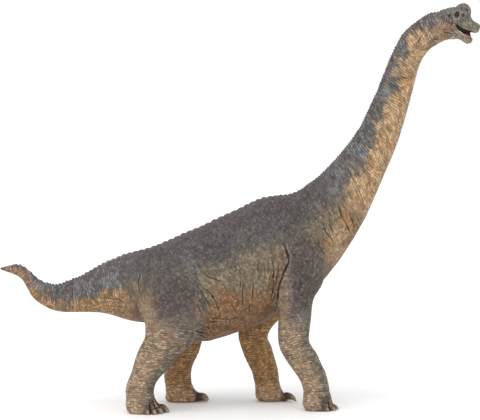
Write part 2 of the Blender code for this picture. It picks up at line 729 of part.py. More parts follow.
def raise_scutes(part, behind, ahead, rng):
    """Fuse a part's own bumps along its ridge, clear of the cuts at its ends."""
    surface = BVHTree.FromObject(part, bpy.context.evaluated_depsgraph_get())
    made = []
    for place, along, out in ridge_places():
        half_length = spacing_at(place.x / MM) * 0.46
        clear = (half_length + 0.5) * MM
        if behind and (place - slice_plane(behind)[0]).dot(slice_plane(behind)[1]) < clear:
            continue
        if ahead and (slice_plane(ahead)[0] - place).dot(slice_plane(ahead)[1]) < clear:
            continue
        foot = surface.ray_cast(place + out * 5 * MM, -out)[0]
        size = rng.uniform(0.85, 1.15)
        made.append(scute(foot, along, out, half_length, SCUTE_HALF_WIDTH * size, SCUTE_HEIGHT * size))
    if made:
        boolean(part, made, "UNION")


def paint(obj, colour, roughness=0.62):
    """Give an object its own painted-plastic material, from a daylight colour."""
    material = bpy.data.materials.new(obj.name)
    material.use_nodes = True
    shader = material.node_tree.nodes["Principled BSDF"]
    linear = [(channel / 255) ** 2.2 for channel in colour]
    shader.inputs["Base Color"].default_value = (*linear, 1.0)
    shader.inputs["Roughness"].default_value = roughness
    shader.inputs["Metallic"].default_value = 0.0
    obj.data.materials.clear()
    obj.data.materials.append(material)
    obj.data.shade_smooth()
    obj.data.set_sharp_from_angle(angle=math.radians(50))


def build_body():
    """Trunk, legs and toes grown into one light mesh, cut flat at the soles."""
    shapes = [trunk_loft("trunk", TAIL_SLICES + TORSO_SLICES + NECK_SLICES)]
    for name, leg in LEGS.items():
        shapes.append(leg_loft(name, leg["slices"]))
        shapes.extend(toes(leg))
    body = gather("body", shapes)
    grow_together(body, BODY_VOXEL, 8)
    thin_out(body, BODY_TRIANGLES)
    trim(body, Vector((0, 0, 0)), Vector((0, 0, -1)))
    return body


def build_legs(body):
    """Take the four legs out of the flanks and part each at its joints."""
    for leg in LEGS.values():
        side = leg["side"]
        whole = cut_out(body, "leg", leg_outline(leg), side * leg["depth"], side * OUTSIDE)
        upper_cut, lower_cut = (leg["slices"][i] for i in leg["cuts"])
        upper_name, middle_name, foot_name = leg["parts"]
        paint(part_between(whole, upper_name, upper_cut, None), BACK_GREY)
        paint(part_between(whole, middle_name, lower_cut, upper_cut), LIMB_TAN)
        foot = part_between(whole, foot_name, None, lower_cut)
        boolean(foot, claws(leg), "UNION")
        paint(foot, LIMB_TAN)
        remove([whole])


def build_trunk(body):
    """Part tail, torso and neck at their slices and raise the ridge on each."""
    colours = {"torso": FLANK_OLIVE, "tail": BACK_GREY, "neck": NECK_TAN}
    rng = random.Random(SCUTE_SEED)
    for name, behind, ahead in TRUNK_PARTS:
        part = part_between(body, name, behind, ahead)
        raise_scutes(part, behind, ahead, rng)
        paint(part, colours[name.split("_")[0]])
    remove([body])


def build_head():
    """Skull, nose dome, cheeks, open jaw and filled mouth, parted into head and jaw."""
    pitch = Matrix.Rotation(HEAD_PITCH, 3, "Y")
    shapes = [
        trunk_loft("neck_end", NECK_SLICES[6:]),
        loft("skull", [(on_head(ahead, top), on_head(ahead, bottom), half * MM, 0.05, boxiness)
                       for ahead, top, bottom, half, boxiness in SKULL_SLICES], FINE_STEP),
        loft("jaw", [(on_head(*top), on_head(*bottom), half * MM, 0.0, LEG_BOXINESS)
                     for top, bottom, half in JAW_SLICES], FINE_STEP),
        loft("mouth_core", [(on_head(*top), on_head(*bottom), half * MM, 0.0, LEG_BOXINESS)
                            for top, bottom, half in MOUTH_CORE_SLICES], FINE_STEP),
        ellipsoid("nose_dome", on_head(*NOSE_DOME_PLACE), NOSE_DOME_RADII, pitch, 20, 28),
        ellipsoid("cheeks", on_head(*CHEEK_PLACE), CHEEK_RADII, pitch, 20, 28),
    ]
    for side in (-1, 1):
        shapes.append(oval_rim("temple_rim", TEMPLE_PLACE, TEMPLE_RIM_RADII, TEMPLE_RIM_TUBE,
                               side, TEMPLE_SIDE, TEMPLE_LEAN))
        shapes.append(oval_rim("eyelids", EYE_PLACE, EYELID_RADII, EYELID_TUBE,
                               side, EYELID_SIDE, TEMPLE_LEAN))
    whole = gather("head_whole", shapes)
    grow_together(whole, HEAD_VOXEL, 5)
    thin_out(whole, HEAD_TRIANGLES)
    boolean(whole, face_hollows(pitch), "DIFFERENCE")

    outline = [head_point(ahead, up) for ahead, up in JAW_OUTLINE]
    jaw = cut_out(whole, "lower_jaw", outline, -OUTSIDE, OUTSIDE)
    head = part_between(whole, "head", HEAD_CUT, None)
    boolean(jaw, teeth(jaw), "UNION")
    raise_scutes(head, HEAD_CUT, None, random.Random(SCUTE_SEED))
    paint(head, HEAD_GREY)
    paint(jaw, HEAD_GREY)
    remove([whole])


def face_hollows(pitch):
    """The hollows behind the eyes, eye sockets, ears, nostrils and tongue trough."""
    slant = Matrix.Rotation(NOSTRIL_SLANT, 3, "Y")
    dip = Matrix.Rotation(HEAD_PITCH + TONGUE_DIP, 3, "Y")
    trough = [radius + GAP / MM for radius in TONGUE_RADII]
    made = [ellipsoid("trough", on_head(*TONGUE_PLACE), trough, dip)]
    for side in (-1, 1):
        socket = EYE_RADIUS + GAP / MM
        made += [
            ellipsoid("temple", on_head(*TEMPLE_PLACE, side * (TEMPLE_SIDE + 0.7)),
                      (TEMPLE_RADII[0], 1.9, TEMPLE_RADII[1]), pitch),
            ellipsoid("socket", on_head(*EYE_PLACE, side * EYE_SIDE), (socket,) * 3, pitch),
            ellipsoid("ear", on_head(*EAR_PLACE, side * 8.9), (0.9, 1.6, 1.7), pitch),
            ellipsoid("nostril", on_head(*NOSTRIL_PLACE, side * 4.3), (0.7, 1.5, 1.8), slant),
        ]
    return made


def build_eyes_and_tongue():
    """Two eyeballs in their sockets and a tongue in its trough."""
    pitch = Matrix.Rotation(HEAD_PITCH, 3, "Y")
    dip = Matrix.Rotation(HEAD_PITCH + TONGUE_DIP, 3, "Y")
    for name, side in (("eye_right", -1), ("eye_left", 1)):
        eye = ellipsoid(name, on_head(*EYE_PLACE, side * EYE_SIDE), (EYE_RADIUS,) * 3, pitch)
        paint(eye, EYE_NAVY, 0.15)
    tongue = ellipsoid("tongue", on_head(*TONGUE_PLACE), TONGUE_RADII, dip)
    paint(tongue, TONGUE_PINK, 0.4)


for old in list(bpy.data.objects):
    bpy.data.objects.remove(old, do_unlink=True)
whole_body = build_body()
build_legs(whole_body)
build_trunk(whole_body)
build_head()
build_eyes_and_tongue()
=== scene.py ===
import json
import math

import bpy
import numpy as np
from mathutils import Matrix, Vector

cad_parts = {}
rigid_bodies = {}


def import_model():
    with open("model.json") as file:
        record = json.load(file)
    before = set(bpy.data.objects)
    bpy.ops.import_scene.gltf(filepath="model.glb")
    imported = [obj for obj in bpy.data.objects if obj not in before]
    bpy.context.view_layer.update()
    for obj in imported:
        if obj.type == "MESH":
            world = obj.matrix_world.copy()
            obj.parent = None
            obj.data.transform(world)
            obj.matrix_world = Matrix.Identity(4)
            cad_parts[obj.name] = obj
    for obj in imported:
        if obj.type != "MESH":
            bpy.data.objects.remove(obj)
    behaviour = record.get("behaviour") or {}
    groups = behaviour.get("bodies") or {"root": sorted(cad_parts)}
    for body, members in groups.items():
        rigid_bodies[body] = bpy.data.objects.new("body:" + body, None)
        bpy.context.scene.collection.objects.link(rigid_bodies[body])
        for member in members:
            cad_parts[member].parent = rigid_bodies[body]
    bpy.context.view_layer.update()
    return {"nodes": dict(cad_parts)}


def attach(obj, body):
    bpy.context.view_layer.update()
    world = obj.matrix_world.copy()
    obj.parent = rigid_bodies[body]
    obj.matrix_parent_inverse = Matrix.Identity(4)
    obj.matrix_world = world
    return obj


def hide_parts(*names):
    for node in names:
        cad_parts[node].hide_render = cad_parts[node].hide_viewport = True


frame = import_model()


# Camera. A long lens looks at the figure's right side from a little above the floor,
# level with its belly, and is held half a degree askew.
IMAGE_SIZE = (480, 420)
SENSOR_WIDTH = 36.0
LENS = 154.07
CAMERA_DISTANCE = 1.6
CAMERA_HEIGHT = 0.24
AIM_HEIGHT = 0.154
CAMERA_ROLL = math.radians(0.5)

bpy.ops.object.select_all(action="DESELECT")
look_down = math.atan2(CAMERA_HEIGHT - AIM_HEIGHT, CAMERA_DISTANCE)
aim = Matrix.Rotation(math.pi / 2 - look_down, 3, "X") @ Matrix.Rotation(-CAMERA_ROLL, 3, "Z")
bpy.ops.object.camera_add(location=(0, -CAMERA_DISTANCE, CAMERA_HEIGHT), rotation=aim.to_euler())
camera = bpy.context.object
camera.name = "studio_camera"
camera.data.sensor_width = SENSOR_WIDTH
camera.data.lens = LENS
camera.data.clip_start = 0.05
camera.data.clip_end = 50.0
bpy.context.scene.camera = camera
bpy.context.scene.view_settings.view_transform = "Standard"


# Floor and light. The figure stands on a smooth white table in a white tent, under one
# wide soft lamp, so its shadows stay pale and the table runs into the background.
FLOOR_REACH = 12.0
FLOOR_WHITE = (0.93, 0.93, 0.935)
TENT_LIGHT = 1.0
LAMP_STRENGTH = 1.1
LAMP_SPREAD = math.radians(50)
LAMP_TILT = (math.radians(32), math.radians(-16), 0.0)


def node(tree, kind, inputs=None, **properties):
    """Add a node with its properties set and its inputs filled in or linked."""
    made = tree.nodes.new(kind)
    for name, value in properties.items():
        setattr(made, name, value)
    for socket, value in (inputs or {}).items():
        if isinstance(value, bpy.types.NodeSocket):
            tree.links.new(value, made.inputs[socket])
        else:
            made.inputs[socket].default_value = value
    return made


def new_material(name):
    """An empty node material with its shader, returned with the tree and shader."""
    material = bpy.data.materials.new(name)
    material.use_nodes = True
    tree = material.node_tree
    return material, tree, tree.nodes["Principled BSDF"]


bpy.ops.mesh.primitive_plane_add(size=FLOOR_REACH, location=(0, 0, 0))
floor = bpy.context.object
floor.name = "table"
white, tree, shader = new_material("table_white")
grain = node(tree, "ShaderNodeTexNoise",
             {"Vector": node(tree, "ShaderNodeTexCoord").outputs["Object"], "Scale": 30.0})
tint = node(tree, "ShaderNodeMix",
            {"Factor": grain.outputs["Fac"], "A": (*FLOOR_WHITE, 1), "B": (0.94, 0.94, 0.94, 1)},
            data_type="RGBA")
tree.links.new(tint.outputs["Result"], shader.inputs["Base Color"])
shader.inputs["Roughness"].default_value = 0.6
shader.inputs["Specular IOR Level"].default_value = 0.1
floor.data.materials.append(white)

tent = bpy.data.worlds.new("tent")
tent.use_nodes = True
tent.node_tree.nodes["Background"].inputs["Color"].default_value = (1, 1, 1, 1)
tent.node_tree.nodes["Background"].inputs["Strength"].default_value = TENT_LIGHT
bpy.context.scene.world = tent
bpy.ops.object.light_add(type="SUN", location=(0, 0, 1), rotation=LAMP_TILT)
lamp = bpy.context.object
lamp.name = "soft_lamp"
lamp.data.energy = LAMP_STRENGTH
lamp.data.angle = LAMP_SPREAD


# Skin. The whole animal is one hollow casting of soft plastic out of a steel mould, from
# the tip of the tail to the lips. Every fold and wrinkle is moulded in, so it is made
# here as one closed surface and then painted.
MM = 0.001
BARE_NODES = ("eye_left", "eye_right", "tongue")
SWELL = 0.35
FINE_VOXEL = 0.45
EVEN_VOXEL = 1.2
EVEN_ROUNDS = 24
HEAD_ROUNDS = 5
SKIN_TRIANGLES = 196000
JAW_HINGE = (165.5, 294.5)
HEAD_PITCH = math.radians(18.0)
# Slices that the folds of the trunk run along: back (x, z) and belly (x, z).
TRUNK_SLICES = [
    ((-188.2, 111.6), (-188.2, 108.6)), ((-172.0, 112.9), (-175.4, 104.2)),
    ((-158.7, 102.6), (-167.4, 95.3)), ((-146.3, 97.9), (-152.9, 79.6)),
    ((-124.1, 104.4), (-118.8, 75.0)), ((-102.0, 116.0), (-94.8, 70.6)),
    ((-72.1, 125.3), (-71.0, 66.0)), ((-39.2, 138.7), (-40.0, 54.5)),
    ((1.6, 156.6), (0.7, 59.6)), ((29.7, 165.8), (34.5, 78.0)),
    ((46.5, 169.3), (67.0, 101.2)), ((57.0, 177.2), (93.8, 139.8)),
    ((79.1, 198.5), (111.5, 177.9)), ((94.3, 219.3), (123.4, 206.0)),
    ((106.9, 246.1), (133.0, 237.4)), ((118.7, 274.3), (139.9, 264.1)),
    ((140.6, 301.3), (153.6, 281.2)), ((156.5, 307.4), (163.5, 285.4)),
    ((186.0, 305.0), (182.0, 287.0)),
]
# Slices up each leg from the sole: rear (x, z) and front (x, z), with the leg's side,
# the middle of its foot and how high it reaches on the flank.
LEGS = {
    "hind_right": dict(side=-1, foot=(-75.5, -29.0), crown=112.0, slices=[
        ((-88.4, 0.0), (-61.5, 0.0)), ((-89.2, 15.3), (-67.7, 15.1)), ((-82.0, 40.8), (-54.7, 35.1)),
        ((-73.8, 59.2), (-36.6, 53.5)), ((-75.4, 83.2), (-32.0, 82.8)), ((-70.0, 117.0), (-42.0, 121.0))]),
    "hind_left": dict(side=1, foot=(-47.5, 31.0), crown=110.0, slices=[
        ((-61.3, 0.0), (-33.0, 0.0)), ((-60.8, 14.0), (-39.3, 14.5)), ((-60.2, 39.4), (-33.6, 39.1)),
        ((-64.8, 63.5), (-26.2, 63.1)), ((-72.4, 93.1), (-32.3, 96.8)), ((-69.0, 116.0), (-42.0, 120.0))]),
    "fore_right": dict(side=-1, foot=(58.5, -23.0), crown=136.0, slices=[
        ((48.0, 0.0), (70.3, 0.0)), ((47.5, 16.4), (67.6, 17.7)), ((34.1, 39.4), (57.8, 45.0)),
        ((28.2, 60.8), (53.0, 61.5)), ((31.0, 93.2), (63.0, 96.8)), ((36.0, 140.0), (56.5, 145.0))]),
    "fore_left": dict(side=1, foot=(22.5, 29.0), crown=134.0, slices=[
        ((10.9, 0.0), (34.6, 0.0)), ((10.4, 14.9), (30.2, 15.6)), ((3.3, 33.4), (26.6, 34.8)),
        ((-0.9, 60.7), (24.6, 58.9)), ((23.4, 98.1), (59.0, 100.4)), ((36.0, 138.0), (57.0, 142.0))]),
}
# Each leg's digits: angle out from straight ahead, how far the front of the toe is from
# the foot's middle, toe radius, claw length, claw width and height of the claw's root.
DIGITS = {
    "hind_right": [(-21.0, 14.2, 3.9, 5.4, 4.8, 3.2), (5.0, 14.4, 4.0, 5.6, 5.0, 3.2),
                   (30.0, 13.4, 3.8, 4.0, 4.4, 2.8), (52.0, 13.4, 3.4, 2.8, 3.8, 2.4),
                   (74.0, 12.8, 3.2, 2.0, 3.4, 2.2)],
    "hind_left": [(-19.0, 15.2, 4.0, 6.4, 5.4, 3.8), (6.0, 15.2, 4.0, 6.2, 5.0, 3.4),
                  (31.0, 13.4, 3.8, 4.4, 4.4, 2.8), (53.0, 13.2, 3.4, 2.8, 3.8, 2.4),
                  (75.0, 12.6, 3.2, 2.0, 3.4, 2.2)],
    "fore_right": [(-50.0, 12.4, 3.5, 7.0, 4.8, 4.6), (-20.0, 13.2, 3.2, 2.8, 3.4, 2.4),
                   (5.0, 13.6, 3.2, 2.8, 3.4, 2.4), (30.0, 13.0, 3.1, 2.6, 3.2, 2.2),
                   (55.0, 12.0, 3.0, 2.2, 3.0, 2.0)],
    "fore_left": [(-26.0, 16.0, 3.5, 7.2, 4.8, 4.6), (-2.0, 13.6, 3.2, 2.8, 3.4, 2.4),
                  (22.0, 13.6, 3.2, 2.8, 3.4, 2.4), (46.0, 12.8, 3.1, 2.6, 3.2, 2.2),
                  (70.0, 11.8, 3.0, 2.2, 3.0, 2.0)],
}


def take_up(obj):
    """Make one object the only one selected and the one worked on."""
    bpy.ops.object.select_all(action="DESELECT")
    obj.select_set(True)
    bpy.context.view_layer.objects.active = obj


def modify(obj, kind, **settings):
    """Run a modifier on an object and apply it."""
    take_up(obj)
    modifier = obj.modifiers.new(kind.lower(), kind)
    for name, value in settings.items():
        setattr(modifier, name, value)
    bpy.ops.object.modifier_apply(modifier=modifier.name)


def places_of(obj):
    """An object's points in millimetres."""
    flat = np.empty(len(obj.data.vertices) * 3, np.float32)
    obj.data.vertices.foreach_get("co", flat)
    return flat.reshape(-1, 3).astype(float) / MM


def normals_of(obj):
    flat = np.empty(len(obj.data.vertices) * 3, np.float32)
    obj.data.vertices.foreach_get("normal", flat)
    return flat.reshape(-1, 3).astype(float)


def put_places(obj, places):
    obj.data.vertices.foreach_set("co", (places * MM).astype(np.float32).ravel())
    obj.data.update()


def copy_piece(obj):
    take_up(obj)
    bpy.ops.object.duplicate()
    return bpy.context.object


def ramp(values, low, high):
    """0 below low and 1 above high, with a soft S between; low may be the larger."""
    t = np.clip((values - low) / (high - low), 0, 1)
    return t * t * (3 - 2 * t)


def easing(obj):
    """A function that draws each value on a mesh towards the mean of its neighbours."""
    pairs = np.empty(len(obj.data.edges) * 2, np.int32)
    obj.data.edges.foreach_get("vertices", pairs)
    pairs = pairs.reshape(-1, 2)
    here = np.concatenate((pairs[:, 0], pairs[:, 1]))
    there = np.concatenate((pairs[:, 1], pairs[:, 0]))
    order = np.argsort(here, kind="stable")
    there = there[order]
    starts = np.searchsorted(here[order], np.arange(len(obj.data.vertices)))
    counts = np.diff(np.append(starts, len(there)))

    def ease(values, rounds, share=1.0):
        values = values.astype(np.float32)
        divide = (1.0 / counts).astype(np.float32)
        if values.ndim == 2:
            divide = divide[:, None]
        for _ in range(rounds):
            values = values + share * (np.add.reduceat(values[there], starts, axis=0) * divide - values)
        return values

    return ease


def flow_through(places, slices):
    """How far along a row of slices each place is, and how far across from 0 to 1."""
    upper = np.array([pair[0] for pair in slices])
    lower = np.array([pair[1] for pair in slices])
    middle, across = (upper + lower) / 2, upper - lower
    width = np.linalg.norm(across, axis=1)
    ahead = np.stack([across[:, 1], -across[:, 0]], axis=1) / width[:, None]
    arc = np.concatenate(([0.0], np.cumsum(np.linalg.norm(np.diff(middle, axis=0), axis=1))))
    side_view = places[:, (0, 2)]
    past = side_view @ ahead.T - (middle * ahead).sum(axis=1)
    before = np.clip((past > 0).sum(axis=1) - 1, 0, len(slices) - 2)
    row = np.arange(len(places))
    behind, beyond = past[row, before], past[row, before + 1]
    t = behind / np.where(np.abs(behind - beyond) < 1e-6, 1e-6, behind - beyond)
    t = np.clip(t, -0.5, 1.5)
    along = arc[before] + (arc[before + 1] - arc[before]) * t
    t = np.clip(t, 0, 1)
    rise = (side_view @ across.T - (lower * across).sum(axis=1)) / width ** 2
    height = rise[row, before] * (1 - t) + rise[row, before + 1] * t
    return along, height, width[before] * (1 - t) + width[before + 1] * t


def draw_numbers(cells, seed):
    """A repeatable number from -1 to 1 for each whole-numbered cell."""
    mixed = (cells[:, 0] * 73856093) ^ (cells[:, 1] * 19349663) ^ (cells[:, 2] * 83492791)
    mixed = (mixed ^ (seed * 2654435)) & 0x7FFFFFFF
    mixed = ((mixed ^ (mixed >> 13)) * 1274126177) & 0x7FFFFFFF
    return ((mixed ^ (mixed >> 16)) & 0xFFFF) / 32767.5 - 1.0


def uneven(places, size, seed):
    """Soft random humps from -1 to 1, about this size in each direction."""
    scaled = places / np.array(size, float)
    cell = np.floor(scaled).astype(np.int64)
    part = scaled - cell
    part = part * part * (3 - 2 * part)
    total = np.zeros(len(places))
    for corner in np.ndindex(2, 2, 2):
        weight = np.ones(len(places))
        for axis in range(3):
            weight *= part[:, axis] if corner[axis] else 1 - part[:, axis]
        total += weight * draw_numbers(cell + np.array(corner), seed)
    return total


def head_view(places):
    """Places level round the hinge of the jaw: ahead, up."""
    dx, dz = places[:, 0] - JAW_HINGE[0], places[:, 2] - JAW_HINGE[1]
    cos, sin = math.cos(HEAD_PITCH), math.sin(HEAD_PITCH)
    return np.stack([dx * cos - dz * sin, dx * sin + dz * cos], axis=1)


def on_head(ahead, up, side=0.0):
    """A place on the head, in metres."""
    cos, sin = math.cos(HEAD_PITCH), math.sin(HEAD_PITCH)
    return Vector((JAW_HINGE[0] + ahead * cos + up * sin, side,
                   JAW_HINGE[1] - ahead * sin + up * cos)) * MM


def heading_of(angle, side):
    """The level direction of a digit that points out from straight ahead."""
    turn = math.radians(angle) * side
    return Vector((math.cos(turn), math.sin(turn), 0)), turn


def cast_blank():
    """The solids of the flesh and fuller toes, swollen a little and grown into one skin."""
    bpy.ops.object.select_all(action="DESELECT")
    flesh = sorted(name for name in frame["nodes"] if name not in BARE_NODES)
    for name in flesh:
        frame["nodes"][name].select_set(True)
    bpy.context.view_layer.objects.active = frame["nodes"][flesh[0]]
    bpy.ops.object.duplicate()
    bpy.ops.object.join()
    blank = bpy.context.object
    blank.parent = None
    for key in list(blank.keys()):
        del blank[key]
    blank.name = "skin"
    blank.data.materials.clear()
    bpy.ops.object.mode_set(mode="EDIT")
    bpy.ops.mesh.select_all(action="SELECT")
    bpy.ops.mesh.remove_doubles(threshold=0.001 * MM)
    bpy.ops.object.mode_set(mode="OBJECT")
    modify(blank, "DISPLACE", strength=SWELL * MM, mid_level=0.0)
    toes = []
    for name, leg in LEGS.items():
        for angle, front, radius, _, _, _ in DIGITS[name]:
            heading, turn = heading_of(angle, leg["side"])
            place = Vector((*leg["foot"], 0)) + heading * (front - radius * 1.45)
            place.z = radius * 0.9
            bpy.ops.mesh.primitive_uv_sphere_add(
                segments=24, ring_count=16, radius=1.0, location=place * MM, rotation=(0, 0, turn),
                scale=(radius * 1.5 * MM, radius * 1.0 * MM, radius * 1.15 * MM))
            toes.append(bpy.context.object)
    take_up(blank)
    for toe in toes:
        toe.select_set(True)
    bpy.ops.object.join()
    return blank, flesh


def drop_scraps(obj):
    """Keep only the surface that holds the highest point."""
    take_up(obj)
    highest = int(places_of(obj)[:, 2].argmax())
    bpy.ops.object.mode_set(mode="EDIT")
    bpy.ops.mesh.select_mode(type="VERT")
    bpy.ops.mesh.select_all(action="DESELECT")
    bpy.ops.object.mode_set(mode="OBJECT")
    obj.data.vertices[highest].select = True
    bpy.ops.object.mode_set(mode="EDIT")
    bpy.ops.mesh.select_linked()
    bpy.ops.mesh.select_all(action="INVERT")
    bpy.ops.mesh.delete(type="VERT")
    bpy.ops.object.mode_set(mode="OBJECT")


def refine_head(obj):
    """Halve the mesh size on the head, where the details are smallest."""
    take_up(obj)
    keep = head_view(places_of(obj))[:, 0] > -8.0
    keep &= places_of(obj)[:, 2] > 270.0
    bpy.ops.object.mode_set(mode="EDIT")
    bpy.ops.mesh.select_mode(type="VERT")
    bpy.ops.mesh.select_all(action="DESELECT")
    bpy.ops.object.mode_set(mode="OBJECT")
    obj.data.vertices.foreach_set("select", keep)
    bpy.ops.object.mode_set(mode="EDIT")
    bpy.ops.mesh.select_mode(type="FACE")
    bpy.ops.mesh.subdivide(number_cuts=1)
    bpy.ops.object.mode_set(mode="OBJECT")


blank, flesh_nodes = cast_blank()
even = copy_piece(blank)
modify(even, "REMESH", mode="VOXEL", voxel_size=EVEN_VOXEL * MM)
modify(blank, "REMESH", mode="VOXEL", voxel_size=FINE_VOXEL * MM)
drop_scraps(even)
drop_scraps(blank)
refine_head(blank)
skin = blank

# The large forms are evened out so that no facet shows, and keep their volume.
points = places_of(even)
_, _, slice_width = flow_through(points, TRUNK_SLICES)
share = np.clip((slice_width / 60.0) ** 2, 0.1, 1.0)
share = np.where(points[:, 2] < 62.0, np.minimum(share, 0.4), share)[:, None].astype(np.float32)
ease = easing(even)
softened = ease(points, EVEN_ROUNDS, share)
put_places(even, softened + ease(points - softened, EVEN_ROUNDS, share))
modify(even, "SUBSURF", levels=1, render_levels=1)

# The skin lies on those even forms, apart from the head, the feet and the tip of the
# tail, which keep their own.
even_copy = copy_piece(skin)
modify(even_copy, "SHRINKWRAP", target=even, wrap_method="NEAREST_SURFACEPOINT")
on_even = places_of(even_copy)
bpy.data.objects.remove(even_copy)
bpy.data.objects.remove(even)
points = places_of(skin)
ease = easing(skin)
own = ease(points, HEAD_ROUNDS)
face = head_view(points)
headness = ramp(face[:, 0], -15.0, -7.0) * ramp(points[:, 2], 265.0, 276.0)
footness = ramp(points[:, 2], 26.0, 17.0)
tail_end = ramp(points[:, 0], -148.0, -160.0)
keep_own = np.maximum(np.maximum(headness, footness), tail_end)[:, None]
points = own * keep_own + on_even * (1 - keep_own)
points = ease(points, 2).astype(float)
put_places(skin, points)
normals = normals_of(skin)
points -= normals * SWELL * (0.75 + 0.25 * (1 - keep_own))

# Where each point lies on the animal: along and across the trunk, and on which leg.
face = head_view(points)
along, height, slice_width = flow_through(points, TRUNK_SLICES)
across = height * slice_width
outward = ramp(normals[:, 1] * np.sign(points[:, 1]), -0.1, 0.35)
limb = np.zeros(len(points))
limb_along, limb_rear, inner = np.zeros(len(points)), np.full(len(points), 0.5), np.zeros(len(points))
toe_front, toe_gap = np.zeros(len(points)), np.zeros(len(points))
for name, leg in LEGS.items():
    up_leg, rear, _ = flow_through(points, leg["slices"])
    beside = points[:, 1] * leg["side"]
    here = (ramp(rear, -0.22, -0.02) * ramp(rear, 1.22, 1.02)
            * ramp(beside, 6.0, 15.0) * ramp(points[:, 2], leg["crown"], leg["crown"] - 22.0))
    low = ramp(points[:, 2], 60.0, 45.0) * (beside > 0) * (np.abs(rear - 0.5) < 1.4)
    here = np.maximum(here, low * (np.abs(rear - 0.5) < 1.0))
    mine = here > limb
    limb = np.where(mine, here, limb)
    limb_along = np.where(mine, up_leg, limb_along)
    limb_rear = np.where(mine, rear, limb_rear)
    inner = np.where(mine, ramp(-normals[:, 1] * leg["side"], -0.15, 0.55), inner)
    from_foot = points[:, :2] - np.array(leg["foot"])
    ahead = from_foot[:, 0] + 0.45 * leg["side"] * from_foot[:, 1]
    toe_front = np.where(mine, ramp(ahead, 3.0, 9.0) * ramp(points[:, 2], 15.0, 8.0), toe_front)
    angles = [digit[0] for digit in DIGITS[name]]
    for left, right in zip(angles, angles[1:]):
        heading, _ = heading_of((left + right) / 2, leg["side"])
        forward = from_foot @ np.array(heading[:2])
        aside = from_foot @ np.array((-heading.y, heading.x))
        between = np.exp(-(aside / 0.75) ** 2) * ramp(forward, 6.0, 10.0) * ramp(points[:, 2], 12.0, 6.0)
        toe_gap = np.where(mine, np.maximum(toe_gap, between), toe_gap)
neck = ramp(points[:, 0] + points[:, 2], 222.0, 256.0) * (1 - headness)
tail = ramp(points[:, 0], -70.0, -96.0) * ramp(points[:, 2], 55.0, 64.0)
torso = np.clip(1 - neck - tail - limb - headness, 0, 1)
neck_rise = ramp(points[:, 2], 200.0, 270.0)
on_top = ramp(height, 0.8, 0.97) * ramp(normals[:, 2] - normals[:, 0] * 0.6, 0.3, 0.8)
sideways = ramp(np.abs(normals[:, 1]), 0.2, 0.5)
lower_leg = limb * ramp(points[:, 2], 92.0, 60.0)
broad = np.clip(torso + limb * (1 - lower_leg), 0, 1)

# Rings and folds of loose skin. On the neck they droop towards the chest, and on the
# tail and the legs they run straight round.
RING_PITCH = 1.85
FOLD_PITCH = 6.4
LEG_FOLD_PITCH = 5.2
NECK_DROOP = (0.40, 0.24)


def folds(phase):
    """Rounded crests with sharp grooves between: 0 in a groove, 1 on a crest."""
    return np.abs(np.sin(np.pi * phase)) ** 0.6


wander = uneven(points, (9, 7, 9), 1)
quiver = uneven(points, (3.4, 3.4, 3.4), 2)
droop = (NECK_DROOP[0] + (NECK_DROOP[1] - NECK_DROOP[0]) * neck_rise) * neck
ring_run = along + droop * (slice_width - across)
ring_phase = ring_run / RING_PITCH + 0.8 * wander + 0.3 * quiver
limb_phase = limb_along / RING_PITCH + 0.9 * wander + 0.4 * quiver
strength = 1 + 0.55 * uneven(points, (5, 5, 5), 3)
relief = (0.27 * neck + 0.2 * tail + 0.04 * torso) * (folds(ring_phase) - 0.7) * strength
deep = np.minimum(folds(ring_run / FOLD_PITCH + 0.9 * uneven(points, (13, 13, 13), 4) + 0.15 * quiver), 0.75)
relief += (0.42 * neck * (1 - 0.4 * neck_rise) + 0.24 * tail + 0.1 * torso) * (deep - 0.66) \
    * ramp(uneven(points, (11, 11, 11), 5), -0.5, 0.4)

bend = np.exp(-((limb_along - 18.0) / 9.0) ** 2) + np.exp(-((limb_along - 56.0) / 12.0) ** 2)
relief += lower_leg * (0.2 + 0.08 * bend) * (folds(limb_phase) - 0.7) * strength * (1 - 0.6 * toe_front)
limb_deep = folds(limb_along / LEG_FOLD_PITCH + 0.9 * uneven(points, (10, 10, 10), 6) + 0.25 * quiver)
relief += lower_leg * (0.2 + 0.38 * bend) * (np.minimum(limb_deep, 0.7) - 0.6)

# Crossing wrinkles and unevenness on the flank, thigh and shoulder.
slanted = points @ np.array([[0.8, 0, 0.6], [0, 1, 0], [-0.6, 0, 0.8]]).T
counter = points @ np.array([[0.8, 0, -0.6], [0, 1, 0], [0.6, 0, 0.8]]).T
hatch = np.abs(uneven(slanted, (2.2, 6, 6.5), 7)) ** 0.6 + np.abs(uneven(counter, (2.4, 6, 7.5), 8)) ** 0.6
relief += broad * 0.2 * (hatch - 0.95)
relief += (broad + 0.5 * neck + 0.5 * tail) * 0.25 * uneven(points, (16, 16, 16), 9)
relief += broad * 0.14 * uneven(points, (6, 6, 6), 10)
blister = np.abs(uneven(points, (1.7, 1.7, 1.7), 11)) ** 0.7
relief += (broad * 0.12 + lower_leg * 0.1 + headness * 0.05) * (blister - 0.4)

